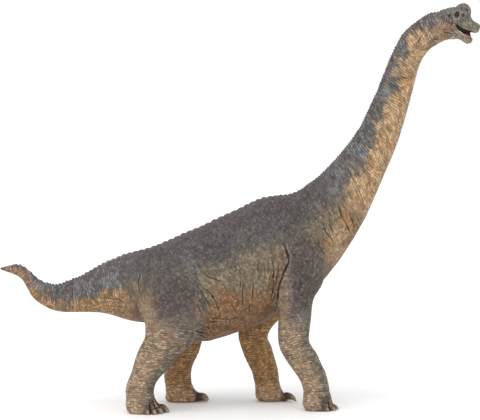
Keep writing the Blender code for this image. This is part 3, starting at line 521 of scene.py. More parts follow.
# Low bumps along the middle of the back, far apart on the withers and close on the neck.
BUMP_SPACING = [(-176.0, 2.6), (-120.0, 3.4), (-20.0, 5.2), (55.0, 6.0), (75.0, 3.2), (100.0, 2.2), (180.0, 2.0)]
BUMP_HEIGHT = 0.95
BUMP_HALF_WIDTH = 2.3
ridge_along = np.linspace(along.min(), along.max(), 2000)
slice_middles = np.array([(np.array(a) + np.array(b)) / 2 for a, b in TRUNK_SLICES])
slice_arc = np.concatenate(([0.0], np.cumsum(np.linalg.norm(np.diff(slice_middles, axis=0), axis=1))))
ridge_x = np.interp(ridge_along, slice_arc, slice_middles[:, 0])
spacing = np.interp(ridge_x, *zip(*BUMP_SPACING))
bump_count = np.concatenate(([0.0], np.cumsum(np.diff(ridge_along) / spacing[1:])))
bump_phase = np.interp(along, ridge_along, bump_count)
bump_size = 1 + 0.3 * draw_numbers(np.stack([np.floor(bump_phase).astype(np.int64)] * 3, axis=1), 12)
hump = 1 - np.abs(2 * (bump_phase - np.floor(bump_phase)) - 1) ** 2.4
ridge = np.exp(-(points[:, 1] / BUMP_HALF_WIDTH) ** 2) * on_top * (1 - headness * ramp(face[:, 0], -4.0, 1.0))
bump_rise = BUMP_HEIGHT * np.interp(points[:, 2], (170, 230), (1.0, 0.7))
relief += ridge * bump_rise * bump_size * (hump - 0.3) * ramp(points[:, 0], -182, -172)

# Creases pressed one by one into both sides: depth, width, then the line (x, z).
CREASES = [
    (1.25, 0.8, [(30.4, 131.8), (33.8, 127.8), (37.2, 120.0), (36.4, 113.1), (31.7, 104.4),
                 (29.7, 96.5), (28.1, 85.8), (27.0, 78.0)]),
    (0.55, 0.6, [(-35.0, 120.0), (-33.0, 114.0), (-29.7, 109.2), (-23.9, 104.3), (-16.1, 102.1), (-8.0, 100.8)]),
    (0.45, 0.4, [(18.5, 116.6), (18.4, 101.0)]),
    (0.65, 0.5, [(23.9, 120.0), (25.3, 110.7), (25.2, 100.0)]),
    (0.60, 0.5, [(29.7, 117.0), (28.7, 107.7), (26.7, 97.0)]),
    (0.45, 0.4, [(9.2, 103.5), (9.6, 95.2), (8.6, 85.5)]),
    (0.50, 0.4, [(1.9, 101.1), (1.5, 90.4), (1.7, 80.6)]),
    (0.45, 0.4, [(17.0, 103.0), (16.1, 97.1), (13.4, 88.3)]),
    (0.45, 0.4, [(22.3, 102.8), (21.3, 95.0), (19.8, 88.2)]),
    (0.45, 0.4, [(26.2, 99.7), (24.7, 92.8), (22.7, 84.1)]),
    (0.40, 0.4, [(6.6, 85.5), (6.8, 77.6), (6.2, 70.8)]),
    (0.60, 0.5, [(-29.8, 97.5), (-24.0, 93.6), (-20.1, 87.7), (-17.8, 81.8), (-14.4, 75.4)]),
    (0.60, 0.5, [(-33.7, 99.5), (-29.8, 92.6), (-25.0, 85.7), (-22.7, 78.9), (-22.2, 73.0)]),
    (0.50, 0.5, [(-32.8, 88.7), (-29.0, 81.9), (-26.1, 76.0)]),
    (0.50, 0.5, [(-33.3, 81.9), (-30.0, 76.5), (-28.6, 73.1)]),
    (0.45, 0.4, [(-11.4, 88.6), (-6.6, 82.7), (-2.7, 76.8)]),
    (0.45, 0.6, [(-24.2, 73.0), (-10.6, 71.9), (1.2, 73.8)]),
    (0.80, 0.6, [(-35.1, 63.8), (-30.2, 61.3), (-24.4, 59.5)]),
    (0.60, 0.6, [(-34.1, 61.8), (-28.3, 56.3), (-20.5, 55.8)]),
    (0.45, 0.7, [(-29.7, 67.6), (-24.3, 70.0), (-15.5, 70.5)]),
    (0.40, 2.2, [(-37.5, 116.8), (-34.6, 108.9), (-32.8, 99.1), (-33.9, 85.4), (-36.9, 73.7)]),
    (0.30, 1.6, [(-45.2, 122.7), (-41.4, 118.8), (-37.5, 113.8)]),
    (0.30, 2.0, [(-71.3, 112.8), (-70.5, 103.0), (-68.6, 93.2), (-64.3, 83.3)]),
    (0.70, 0.5, [(-76.2, 110.0), (-78.7, 102.4), (-78.3, 96.5), (-76.8, 90.5)]),
    (0.40, 0.5, [(-83.7, 99.3), (-81.9, 92.4), (-80.4, 87.4)]),
    (0.35, 0.6, [(-117.5, 86.6), (-107.2, 87.7), (-95.4, 86.4), (-84.4, 83.5)]),
    (0.25, 0.5, [(-112.0, 83.0), (-100.9, 84.5), (-89.1, 84.0)]),
    (0.35, 0.5, [(-92.9, 92.4), (-87.4, 90.7), (-82.7, 88.7)]),
    (0.25, 0.5, [(-106.6, 81.2), (-95.5, 81.1), (-83.7, 80.2)]),
    (0.45, 0.5, [(-136.0, 89.0), (-137.2, 84.5)]),
    (0.40, 0.5, [(-152.5, 95.0), (-154.3, 91.5)]),
    (0.55, 0.5, [(67.7, 150.4), (69.0, 144.2), (71.2, 138.9), (73.0, 133.0)]),
    (0.60, 0.6, [(76.2, 156.5), (79.7, 146.7), (83.2, 141.4), (85.0, 134.0)]),
    (0.55, 0.5, [(84.2, 151.9), (87.7, 143.9), (89.0, 138.5)]),
    (0.50, 0.5, [(63.3, 146.1), (65.4, 139.0), (68.0, 132.5)]),
    (0.40, 0.5, [(95.9, 193.4), (100.3, 188.1), (105.5, 184.0)]),
    (0.40, 0.5, [(88.8, 168.7), (94.1, 161.6), (97.2, 155.5)]),
    (0.35, 0.5, [(101.4, 203.1), (108.5, 200.0)]),
    (0.30, 1.6, [(58.3, 150.8), (57.4, 144.6), (59.1, 135.8), (60.8, 126.9)]),
    (0.55, 0.5, [(124.2, 257.0), (129.6, 255.0)]),
    (0.40, 0.6, [(136.4, 281.7), (138.3, 283.6), (139.9, 286.2), (141.2, 287.4)]),
    (0.60, 0.5, [(140.0, 276.3), (145.8, 277.7), (150.9, 280.7), (156.0, 283.2)]),
    (0.50, 0.5, [(141.6, 278.0), (147.7, 282.3), (152.8, 284.8), (157.3, 285.9)]),
    (0.40, 0.4, [(143.2, 281.1), (149.0, 284.8), (154.8, 286.7)]),
    (0.35, 0.4, [(158.0, 287.3), (159.3, 289.9), (163.1, 290.8)]),
]
# Finer creases in sheaves: how many, x and z from and to, slope in degrees from and to,
# shortest and longest, depth, width.
SHEAVES = [
    (34, (-4, 29), (72, 118), (78, 98), (6, 15), 0.34, 0.36),
    (22, (-35, -6), (60, 98), (-66, -46), (6, 14), 0.34, 0.38),
    (50, (-32, 30), (98, 130), (-28, 22), (4, 9), 0.22, 0.34),
    (26, (-30, 24), (98, 128), (60, 110), (4, 8), 0.22, 0.34),
    (50, (-72, -38), (66, 132), (-68, -38), (3, 7), 0.20, 0.34),
    (50, (36, 64), (92, 168), (62, 104), (3, 8), 0.20, 0.34),
    (40, (-40, 60), (128, 168), (-60, 20), (4, 8), 0.18, 0.34),
    (24, (-30, 20), (58, 74), (70, 100), (3, 7), 0.24, 0.34),
    (26, (62, 92), (118, 160), (-78, -58), (7, 15), 0.34, 0.42),
    (30, (-92, -64), (4, 58), (-14, 12), (4, 9), 0.34, 0.42),
    (30, (34, 68), (4, 84), (-12, 14), (4, 9), 0.34, 0.42),
    (24, (-64, -30), (8, 60), (-10, 10), (4, 9), 0.34, 0.42),
    (24, (4, 34), (8, 62), (-10, 10), (4, 9), 0.34, 0.42),
]
LIP = 0.18
FINE_WIDTH = 1.0


def press(relief, crack, view, reach, line, depth, width):
    """Press one groove with low lips along a line drawn in a side view."""
    line = np.array(line, float)
    near = np.flatnonzero(((view > line.min(axis=0) - 3 * width)
                           & (view < line.max(axis=0) + 3 * width)).all(axis=1) & (reach > 0))
    spot = view[near]
    gap, run = np.full(len(near), 1e9), np.zeros(len(near))
    lengths = np.linalg.norm(np.diff(line, axis=0), axis=1)
    walked = 0.0
    for a, b, length in zip(line, line[1:], lengths):
        t = np.clip((spot - a) @ (b - a) / length ** 2, 0, 1)
        away = np.linalg.norm(spot - a - t[:, None] * (b - a), axis=1)
        run = np.where(away < gap, walked + t * length, run)
        gap = np.minimum(gap, away)
        walked += length
    ends = np.clip(4 * np.minimum(run, walked - run) / walked + 0.15, 0, 1) * reach[near]
    groove = np.exp(-(gap / width) ** 2)
    relief[near] -= depth * ends * (groove - LIP * np.exp(-((gap - 2.0 * width) / (1.1 * width)) ** 2))
    if width < FINE_WIDTH:
        crack[near] = np.maximum(crack[near], groove * ends * min(1.0, 0.25 + depth))


crack = np.zeros(len(points))
waver = np.stack([uneven(points, (4, 4, 4), 13), uneven(points, (4, 4, 4), 14)], axis=1)
side_view = points[:, (0, 2)] + 0.7 * waver
ragged = sideways * (0.75 + 0.45 * uneven(points, (5, 5, 5), 19)).clip(0, 1)
for depth, width, line in CREASES:
    press(relief, crack, side_view, ragged, line, depth, width)
draw = np.random.default_rng(7)
for side in (-1, 1):
    reach = ragged * (points[:, 1] * side > 0)
    for count, (x0, x1), (z0, z1), (low, high), (short, far), depth, width in SHEAVES:
        for _ in range(count):
            slope = math.radians(draw.uniform(low, high))
            middle = np.array((draw.uniform(x0, x1), draw.uniform(z0, z1)))
            half = np.array((math.cos(slope), math.sin(slope))) * draw.uniform(short, far) / 2
            bow = np.array((-half[1], half[0])) * draw.uniform(-0.3, 0.3)
            line = [middle - half, middle + bow, middle + half]
            press(relief, crack, side_view, reach, line, depth * draw.uniform(0.6, 1.2), width)

# The face: lids, the hollows behind the eyes, ears, nostrils and lips.
EYE_PLACE = (4.9, 11.3)
TEMPLE_PLACE = (0.2, 10.1)
EAR_PLACE = (-5.2, 7.6)
UPPER_LIP = [(2.3, 2.8), (5.6, 1.9), (8.3, 1.4), (13.2, 1.1), (19.0, 1.6)]
JAW_LIP = [(2.3, 2.4), (5.3, -0.2), (8.3, -1.4), (12.5, -3.4), (15.1, -3.8), (18.6, -3.4)]
JAW_HALF_WIDTH = [(2.0, 7.5), (8.75, 6.3), (13.0, 5.8), (16.4, 5.2), (18.3, 3.4)]
FACE_CREASES = [
    (0.90, 0.45, [(5.7, 17.3), (6.7, 16.5), (8.6, 15.2)]),
    (0.40, 0.40, [(8.2, 12.6), (8.9, 10.4), (10.6, 8.2), (10.8, 6.8)]),
    (0.35, 0.35, [(7.7, 9.5), (8.1, 7.7), (8.9, 7.4)]),
    (0.40, 0.35, [(7.0, 4.1), (9.9, 3.3), (12.1, 3.5), (15.4, 3.6), (18.6, 4.0)]),
    (0.30, 0.30, [(9.0, 5.6), (12.5, 5.2), (16.0, 5.4)]),
    (0.25, 0.30, [(11.5, 6.9), (14.0, 6.6), (17.0, 6.6)]),
    (0.25, 0.30, [(12.0, 2.4), (15.0, 2.2), (18.0, 2.6)]),
    (0.25, 0.30, [(18.3, 6.4), (18.8, 4.4), (18.6, 2.6)]),
    (0.40, 0.40, [(-0.7, 2.6), (0.5, 3.6), (2.3, 2.8)]),
    (0.45, 0.40, [(-2.6, -0.7), (-1.0, -1.9), (1.9, -3.2), (4.0, -4.3), (7.1, -5.3)]),
    (0.40, 0.40, [(-2.9, 7.1), (-1.8, 5.4), (-1.3, 2.6), (-1.7, 0.1)]),
    (0.45, 0.38, [(-6.8, 6.3), (-6.3, 4.0), (-5.8, 1.2)]),
    (0.40, 0.38, [(-4.7, 6.5), (-3.7, 4.8), (-4.2, 3.2)]),
    (0.40, 0.38, [(-8.3, 5.4), (-7.8, 2.1), (-7.9, -0.4)]),
    (0.35, 0.38, [(-9.8, 4.6), (-9.4, 1.6), (-9.2, -1.4)]),
    (0.25, 0.30, [(6.5, -2.6), (10.1, -4.9), (14.5, -5.6)]),
    (0.25, 0.30, [(5.0, -1.9), (8.0, -3.6), (11.0, -5.2)]),
    (0.35, 0.35, [(16.3, -4.9), (17.6, -3.6)]),
    (0.25, 0.30, [(2.4, 15.6), (4.2, 14.6), (6.4, 13.4)]),
    (0.25, 0.30, [(1.2, 17.4), (2.6, 16.2), (3.6, 14.4)]),
    (0.25, 0.30, [(6.4, 8.9), (6.2, 7.2), (5.4, 6.0)]),
    (0.25, 0.30, [(3.4, 7.4), (4.4, 6.0), (6.2, 4.8)]),
    (0.25, 0.30, [(0.0, 6.0), (1.8, 5.0), (3.6, 4.0)]),
    (0.30, 0.40, [(-6.2, -7.0), (-3.5, -5.4), (0.1, -4.8), (3.0, -6.3)]),
    (0.30, 0.40, [(-8.0, -4.4), (-5.2, -3.4), (-2.4, -3.0)]),
]
on_face = sideways * headness
face_view = face + 0.18 * waver
for depth, width, line in FACE_CREASES:
    press(relief, crack, face_view, on_face, line, depth, width)


def oval(place, radii):
    """How far each point is from a place on the face, as a share of an oval's radii."""
    return np.linalg.norm((face_view - np.array(place)) / np.array(radii), axis=1)


eye_ring = oval(EYE_PLACE, (1.3, 1.5))
temple_ring = oval(TEMPLE_PLACE, (2.05, 2.85)) + 0.16 * uneven(points, (1.8, 3, 1.8), 22)
ear_ring = oval(EAR_PLACE, (0.75, 1.1))
upper_lid = 1 + 0.6 * ramp(face[:, 1], EYE_PLACE[1] - 0.4, EYE_PLACE[1] + 1.2)
relief += on_face * (0.38 * upper_lid * np.exp(-((eye_ring - 1.15) / 0.2) ** 2) - 0.7 * ramp(eye_ring, 0.95, 0.7))
relief += on_face * (0.36 * np.exp(-((temple_ring - 1.22) / 0.16) ** 2) - 0.45 * ramp(temple_ring, 1.05, 0.8))
relief += on_face * (0.25 * np.exp(-((ear_ring - 1.5) / 0.3) ** 2) - 1.0 * ramp(ear_ring, 1.0, 0.5))
upper_lip = np.interp(face[:, 0], *zip(*UPPER_LIP))
jaw_lip = np.interp(face[:, 0], *zip(*JAW_LIP))
lip_reach = ramp(face[:, 0], 2.0, 4.0) * on_face
relief += 0.22 * lip_reach * np.exp(-((face[:, 1] - upper_lip - 0.75) / 0.5) ** 2)
relief += 0.22 * lip_reach * np.exp(-((jaw_lip - face[:, 1] - 0.7) / 0.5) ** 2)
throat = headness * ramp(face[:, 0], 4.0, 1.0) * ramp(face[:, 1], -2.6, -4.2)
scales = np.abs(uneven(points, (1.5, 1.5, 1.5), 15)) ** 0.6
relief += throat * 0.42 * (scales - 0.45)
crown = headness * ramp(face[:, 1], 12.0, 14.5)
relief += crown * 0.16 * uneven(points, (2.2, 2.2, 2.2), 16)
snout = headness * ramp(face[:, 0], 5.0, 9.0) * ramp(face[:, 1], 0.0, 1.5)
relief += (snout + 0.8 * headness * (1 - crown)) * 0.09 * uneven(points, (1.3, 1.3, 1.3), 17)
half_mouth = np.interp(face[:, 0], *zip(*JAW_HALF_WIDTH))
mouth = (headness * ramp(face[:, 0], 2.0, 2.8) * ramp(np.abs(points[:, 1]), half_mouth - 0.6, half_mouth - 1.1)
         * ramp(face[:, 1], upper_lip + 0.5, upper_lip + 0.1) * ramp(face[:, 1], jaw_lip - 0.9, jaw_lip - 0.5))
relief *= 1 - mouth

# The bulk of the sole is smooth and flat, the heel has round pads, and grooves part the
# toes.
TOE_GROOVE = 0.9
heel = limb * ramp(points[:, 2], 17.0, 9.0) * (1 - toe_front)
pads = np.abs(uneven(points, (2.9, 2.9, 2.9), 18)) ** 0.6
relief += heel * 0.42 * (pads - 0.5)
relief -= TOE_GROOVE * toe_gap
relief *= ramp(points[:, 2], 0.3, 1.6)
crack = np.maximum(crack, 0.9 * toe_gap)

# What a dark wash would fill and a dry brush would catch.
local = relief - ease(relief, 14)
groove = np.clip(-local / 0.13, 0, 1)
crest = np.clip(local / 0.12, 0, 1)
points += normals * relief[:, None]
points[:, 2] = np.maximum(points[:, 2], 0.0)
put_places(skin, points)

# Paint, in two coats that meet along the flanks: grey above, and below it olive, tan
# and ochre.
BACK_GREY = (98, 91, 87)
BLUE_GREY = (124, 127, 130)
SLATE = (82, 83, 88)
MAUVE = (92, 83, 84)
SHOULDER_DARK = (84, 77, 74)
FLANK_OLIVE = (136, 122, 101)
FLANK_LIGHT = (154, 138, 112)
BELLY_TAN = (142, 108, 76)
BELLY_ORANGE = (150, 102, 64)
# Dark brown laid into folds and hollows as painted shade.
FOLD_SHADE_BROWN = (100, 70, 52)
PINK_TAN = (150, 118, 100)
TAIL_TAN = (160, 128, 92)
NECK_OCHRE = (186, 154, 116)
NECK_ORANGE = (194, 140, 88)
CHEST_OCHRE = (198, 168, 130)
OLIVE_TAN = (138, 122, 98)
RUST = (164, 112, 82)
ARM_TAN = (156, 136, 114)
LEG_TAN = (158, 134, 110)
LEG_GREY = (104, 99, 90)
LEG_OCHRE = (166, 126, 80)
TOE_BROWN = (88, 74, 68)
HEEL_TAN = (176, 150, 122)
HEAD_GREY = (126, 123, 114)
HEAD_GREEN = (106, 110, 100)
SNOUT_TAN = (168, 157, 136)
SNOUT_EDGE = (78, 80, 76)
CREST_MAUVE = (136, 123, 117)
CHEEK_TAN = (170, 150, 134)
FACE_LIGHT = (182, 176, 168)
TEMPLE_BROWN = (98, 84, 68)
THROAT_TAN = (176, 142, 108)
EAR_PINK = (146, 116, 104)
# Black for painted shade in the ear holes, round the eyeballs and inside the mouth.
SHADE_BLACK = (18, 13, 13)
# Airbrushed patches: colour, strength, half width, then the line (x, z).
AIRBRUSH = [
    (SHOULDER_DARK, 0.70, 6.2, [(45.8, 144.7), (50.2, 130.8), (52.4, 113.9), (50.8, 97.8), (49.9, 81.7)]),
    (SHOULDER_DARK, 0.50, 4.7, [(33.5, 146.3), (39.6, 132.5), (40.2, 115.6)]),
    (ARM_TAN, 0.75, 3.5, [(37.1, 109.6), (35.4, 94.2), (33.0, 77.3)]),
    (BLUE_GREY, 0.45, 3.1, [(46.0, 77.2), (47.5, 66.5)]),
    (SHOULDER_DARK, 0.45, 5.5, [(16.9, 157.3), (33.9, 158.7), (48.4, 151.7)]),
    (SLATE, 0.50, 4.7, [(11.3, 142.0), (18.9, 138.1)]),
    (MAUVE, 0.45, 6.2, [(-28.4, 133.3), (-21.6, 125.5)]),
    (BLUE_GREY, 0.50, 3.5, [(-42.3, 124.1), (-39.3, 114.9), (-34.1, 104.9)]),
    (MAUVE, 0.60, 10.1, [(-55.4, 108.9), (-53.3, 89.7), (-50.4, 73.6)]),
    (SLATE, 0.50, 3.9, [(-47.5, 70.1), (-43.8, 59.3)]),
    (LEG_TAN, 0.80, 3.9, [(-71.8, 96.3), (-72.0, 77.9), (-69.9, 61.6)]),
    (RUST, 0.60, 2.7, [(-92.4, 94.0), (-85.5, 90.1)]),
    (TAIL_TAN, 0.60, 2.3, [(-119.7, 84.0), (-102.6, 86.2), (-84.9, 84.5)]),
    (BELLY_ORANGE, 0.60, 4.3, [(-23.4, 95.9), (-15.8, 92.0), (-7.5, 86.5), (-0.6, 82.7)]),
    (BELLY_ORANGE, 0.45, 3.1, [(-32.0, 73.7), (-20.6, 75.2), (-9.9, 73.5)]),
    # Painted shade: dark brown along the armpit and where the belly meets the legs.
    (FOLD_SHADE_BROWN, 0.65, 2.7, [(-29.1, 64.3), (-17.6, 65.7), (-6.9, 67.9)]),
    (FOLD_SHADE_BROWN, 0.60, 3.1, [(27.9, 114.4), (26.2, 99.1), (23.8, 84.5)]),
    (FOLD_SHADE_BROWN, 0.55, 2.7, [(11.5, 69.8), (19.2, 75.9), (25.4, 82.0)]),
    (PINK_TAN, 0.50, 3.5, [(31.8, 128.2), (33.3, 119.8), (30.9, 111.4)]),
    (PINK_TAN, 0.45, 2.7, [(-32.7, 89.0), (-35.9, 70.6)]),
    (FLANK_LIGHT, 0.45, 7.0, [(-6.4, 115.7), (13.4, 119.4)]),
    (FLANK_LIGHT, 0.35, 5.5, [(5.6, 96.5), (16.3, 101.0)]),
    (CHEST_OCHRE, 0.85, 6.6, [(78.1, 147.9), (78.0, 132.4), (73.2, 120.8), (70.1, 110.7)]),
    (OLIVE_TAN, 0.60, 4.3, [(61.7, 150.6), (62.4, 139.0)]),
    (NECK_ORANGE, 0.50, 2.7, [(78.2, 157.1), (85.0, 141.6), (90.4, 132.2)]),
    (NECK_ORANGE, 0.50, 2.7, [(110.9, 200.1), (114.9, 210.9)]),
    (NECK_ORANGE, 0.50, 2.3, [(121.2, 235.5), (125.1, 241.7)]),
    (NECK_ORANGE, 0.45, 2.3, [(127.6, 250.9), (133.0, 266.3)]),
    (BLUE_GREY, 0.55, 3.9, [(87.6, 192.7), (94.6, 205.7)]),
    (BLUE_GREY, 0.50, 3.1, [(111.1, 240.3), (115.0, 251.0)]),
    (BLUE_GREY, 0.50, 3.1, [(70.5, 164.9), (78.3, 177.2)]),
    (BLUE_GREY, 0.50, 3.9, [(-114.9, 98.7), (-99.4, 100.9), (-90.1, 100.8)]),
    (SLATE, 0.50, 3.9, [(-147.7, 94.7), (-136.9, 90.8)]),
    (RUST, 0.50, 2.3, [(152.5, 292.3), (157.1, 290.0)]),
]
# How high up the side the two coats meet, as a share of each part's depth.
NECK_LINE = 0.56
TAIL_LINE = 0.46
TORSO_LINE = 0.34
UPPER, UNDER = 0, 1
BOTH = slice(None)


def daylight(colour):
    """A colour as seen in daylight, from 0 to 255, as the light it gives back."""
    return np.array([(channel / 255) ** 2.2 for channel in colour])


coats = np.tile(daylight(BACK_GREY), (2, len(points), 1))


def spray(colour, amount, coat=BOTH):
    """Lay a colour over the paint so far, thinly or thickly."""
    coats[coat] += (daylight(colour) - coats[coat]) * np.clip(amount, 0, 1)[:, None]


cloud = uneven(points, (14, 14, 14), 20)
patch = uneven(points, (7, 7, 7), 21)
edge = height + 0.07 * cloud + 0.05 * patch
spray(BLUE_GREY, (neck + tail) * ramp(edge, 0.45, 0.7) * ramp(patch, -0.2, 0.7) * 0.6, UPPER)
spray(MAUVE, (neck + tail + torso) * ramp(edge, 0.74, 0.95) * 0.5, UPPER)
spray(FLANK_OLIVE, torso * ramp(edge, 0.76, 0.48), UPPER)
spray(BELLY_TAN, torso, UNDER)
spray(BELLY_ORANGE, torso * ramp(patch + 0.5 * cloud, 0.0, 0.7) * 0.4, UNDER)
spray(TAIL_TAN, tail, UNDER)
spray(RUST, tail * ramp(patch, 0.0, 0.6) * 0.35, UNDER)
spray(NECK_OCHRE, neck, UNDER)
spray(NECK_ORANGE, neck * ramp(patch + 0.4 * cloud, 0.1, 0.8) * 0.4, UNDER)
spray(MAUVE, limb * ramp(points[:, 2], 45.0, 70.0) * 0.75)
spray(LEG_TAN, limb * ramp(points[:, 2], 88.0, 50.0) * (1 - inner))
spray(LEG_TAN, limb * ramp(limb_rear, 0.62, 0.95) * ramp(points[:, 2], 104.0, 80.0) * (1 - inner) * 0.85)
spray(LEG_GREY, limb * ramp(limb_rear + 0.1 * patch, 0.55, 0.15) * (1 - inner) * 0.85)
spray(LEG_OCHRE, limb * inner)
spray(RUST, limb * inner * ramp(patch, 0.1, 0.6) * 0.3)
spray(HEEL_TAN, heel * (0.35 + 0.5 * ramp(pads, 0.35, 0.7)))
spray(TOE_BROWN, toe_front)
line_height = neck * NECK_LINE + tail * TAIL_LINE + (1 - neck - tail) * TORSO_LINE
tide = (line_height - edge) * slice_width
for colour, amount, width, line in AIRBRUSH:
    fade, unused = np.zeros(len(points)), np.zeros(len(points))
    press(fade, unused, side_view + 1.6 * waver, outward, line, -amount, 1.25 * width)
    spray(colour, fade)
spray(HEAD_GREY, headness)
spray(HEAD_GREEN, headness * ramp(patch + 0.8 * quiver, -0.1, 0.9) * 0.6)
spray(CREST_MAUVE, headness * ramp(face[:, 1], 12.5, 14.5) * ramp(face[:, 0], -2.0, 1.0))
spray(SNOUT_TAN, headness * ramp(face[:, 0], 3.0, 9.0) * ramp(face[:, 1], 9.0, 4.5))
spray(SNOUT_TAN, headness * ramp(face[:, 0], -1.0, 3.0) * ramp(face[:, 1], 3.5, 0.5))
spray(CHEEK_TAN, headness * np.exp(-(((face[:, 0] - 2.6) / 3.2) ** 2 + ((face[:, 1] - 5.2) / 1.7) ** 2)) * 0.8)
spray(SNOUT_EDGE, headness * ramp(face[:, 0], 19.0, 20.2) * 0.75)
spray(THROAT_TAN, headness * ramp(face[:, 0], 3.0, -3.0) * ramp(face[:, 1], 4.0, -2.0))
spray(RUST, headness * np.exp(-(((face[:, 0] + 3.6) / 3.0) ** 2 + ((face[:, 1] + 1.2) / 2.2) ** 2)) * 0.6)
spray(EAR_PINK, headness * np.exp(-(((face[:, 0] + 6.0) / 2.6) ** 2 + ((face[:, 1] - 3.8) / 3.0) ** 2)) * 0.8)
spray(FACE_LIGHT, on_face * np.exp(-((temple_ring - 1.28) / 0.22) ** 2) * (0.7 + 0.3 * quiver).clip(0, 1))
spray(FACE_LIGHT, on_face * np.exp(-((eye_ring - 1.5) / 0.35) ** 2) * 0.6)
# The hollow behind the eye is painted brown, and its middle is darkened further with painted shade.
spray(TEMPLE_BROWN, on_face * ramp(temple_ring, 1.12, 0.9) * 0.9)
spray(FOLD_SHADE_BROWN, on_face * ramp(temple_ring, 1.0, 0.8) * ramp(quiver, -0.2, 0.5) * 0.7)
# Painted shade: the ear holes, the rims round the eyeballs and the inside of the mouth are painted black.
spray(SHADE_BLACK, on_face * ramp(ear_ring, 1.15, 0.8) * 0.9)
spray(SHADE_BLACK, on_face * ramp(eye_ring, 1.1, 0.85) * 0.85)
spray(SHADE_BLACK, mouth)


def store(obj, name, values):
    """Keep a value, or three, for each point of a mesh."""
    kind = "FLOAT" if values.ndim == 1 else "FLOAT_VECTOR"
    layer = obj.data.attributes.new(name, kind, "POINT")
    layer.data.foreach_set("value" if values.ndim == 1 else "vector", values.astype(np.float32).ravel())


ringed = np.clip(neck + tail + lower_leg, 0, 1) * (1 - headness)
in_leg = limb > 0.5
store(skin, "upper_coat", coats[UPPER])
store(skin, "under_coat", coats[UNDER])
store(skin, "flow", np.stack([np.where(in_leg, limb_phase + 300.0, ring_phase),
                              np.where(in_leg, 28 * limb_rear, across), points[:, 1]], axis=1))
store(skin, "marks", np.stack([groove, crest, crack], axis=1))
store(skin, "places", np.stack([ringed, headness, mouth], axis=1))
store(skin, "tide", np.stack([tide, ramp(height, 0.35, 0.7) * (1 - inner), np.zeros(len(points))], axis=1))
triangles = sum(len(polygon.vertices) - 2 for polygon in skin.data.polygons)
modify(skin, "DECIMATE", ratio=SKIN_TRIANGLES / triangles, use_collapse_triangulate=True)
skin.data.shade_smooth()

PEBBLE_SIZE = 1.55 * MM
GRIT_SIZE = 0.75 * MM
SCUTE_LENGTH = 3.0
WRINKLE_SIZE = (2.0, 4.6, 5.0)
WASH_BROWN = (40, 29, 22)
WASH_BLACK = (28, 26, 28)
BRUSH_CREAM = (232, 212, 176)
BRUSH_GREY = (186, 184, 182)
CRACK_BROWN = (26, 18, 14)
HEAD_PINK = (158, 136, 124)
BUMP_DEPTH = 0.34 * MM


def socket_of(colour):
    return (*daylight(colour), 1.0)


def maths(tree, operation, a, b=0.0, clamp=False):
    return node(tree, "ShaderNodeMath", {0: a, 1: b}, operation=operation, use_clamp=clamp).outputs[0]


def blend(tree, kind, factor, a, b):
    """Lay colour b over colour a."""
    return node(tree, "ShaderNodeMix", {"Factor": factor, "A": a, "B": b},
                data_type="RGBA", blend_type=kind).outputs["Result"]


def between(tree, factor, a, b):
    """A value that goes from a to b as the factor goes from 0 to 1."""
    return node(tree, "ShaderNodeMix", {"Factor": factor, "A": a, "B": b}).outputs["Result"]


def stretch(tree, value, low, high, to_low=0.0, to_high=1.0):
    return node(tree, "ShaderNodeMapRange",
                {"Value": value, "From Min": low, "From Max": high, "To Min": to_low, "To Max": to_high},
                interpolation_type="SMOOTHSTEP").outputs["Result"]


def noise(tree, vector, scale, detail=2.0, rough=0.5):
    return node(tree, "ShaderNodeTexNoise", {"Vector": vector, "Scale": scale, "Detail": detail,
                                             "Roughness": rough}).outputs


def resize(tree, vector, scale, turn=0.0):
    """Turn a space about the animal's side axis, then scale it."""
    turned = node(tree, "ShaderNodeMapping", {"Vector": vector, "Rotation": (0, turn, 0)}).outputs["Vector"]
    return node(tree, "ShaderNodeMapping", {"Vector": turned, "Scale": scale}).outputs["Vector"]


def cells(tree, vector, scale, randomness=1.0):
    """Round cells with lines between: how far from a line, and a random shade for each."""
    lines = node(tree, "ShaderNodeTexVoronoi", {"Vector": vector, "Scale": scale, "Randomness": randomness},
                 feature="DISTANCE_TO_EDGE").outputs["Distance"]
    shades = node(tree, "ShaderNodeTexVoronoi", {"Vector": vector, "Scale": scale, "Randomness": randomness})
    shade = node(tree, "ShaderNodeSeparateColor", {"Color": shades.outputs["Color"]}).outputs["Red"]
    return lines, shade


def parts_of(tree, name):
    """The three values kept under a name at each point."""
    kept = node(tree, "ShaderNodeAttribute", attribute_name=name).outputs["Vector"]
    return kept, node(tree, "ShaderNodeSeparateXYZ", {"Vector": kept}).outputs


skin_paint, tree, shader = new_material("painted_skin")
at = node(tree, "ShaderNodeTexCoord").outputs["Object"]
upper_coat = node(tree, "ShaderNodeAttribute", attribute_name="upper_coat").outputs["Color"]
under_coat = node(tree, "ShaderNodeAttribute", attribute_name="under_coat").outputs["Color"]
flow, flow_parts = parts_of(tree, "flow")
_, marks = parts_of(tree, "marks")
_, zones = parts_of(tree, "places")
_, levels = parts_of(tree, "tide")

# Rings with scutes between them, in a space that runs along and across each part.
shift = maths(tree, "SUBTRACT", noise(tree, resize(tree, flow, (0.45, 0.16, 0.16)), 1.0)["Fac"], 0.5)
phase = maths(tree, "ADD", flow_parts["X"], shift)
ring_place = node(tree, "ShaderNodeCombineXYZ", {"X": phase, "Y": flow_parts["Y"], "Z": flow_parts["Z"]}).outputs[0]
wave = maths(tree, "ABSOLUTE", maths(tree, "SINE", maths(tree, "MULTIPLY", phase, math.pi)))
lapse = noise(tree, resize(tree, ring_place, (0.9, 0.22, 0.22)), 1.0, 1.0)["Fac"]
ring = between(tree, stretch(tree, lapse, 0.66, 0.36, 0.25, 1.0), 1.0, stretch(tree, wave, 0.0, 0.72))
scute_line, scute_shade = cells(
    tree, resize(tree, ring_place, (1.0, 1 / SCUTE_LENGTH, 1 / SCUTE_LENGTH)), 1.0, 0.85)
scute = stretch(tree, scute_line, 0.0, 0.22)
ring_form = maths(tree, "MINIMUM", ring, between(tree, 0.6, 1.0, scute))

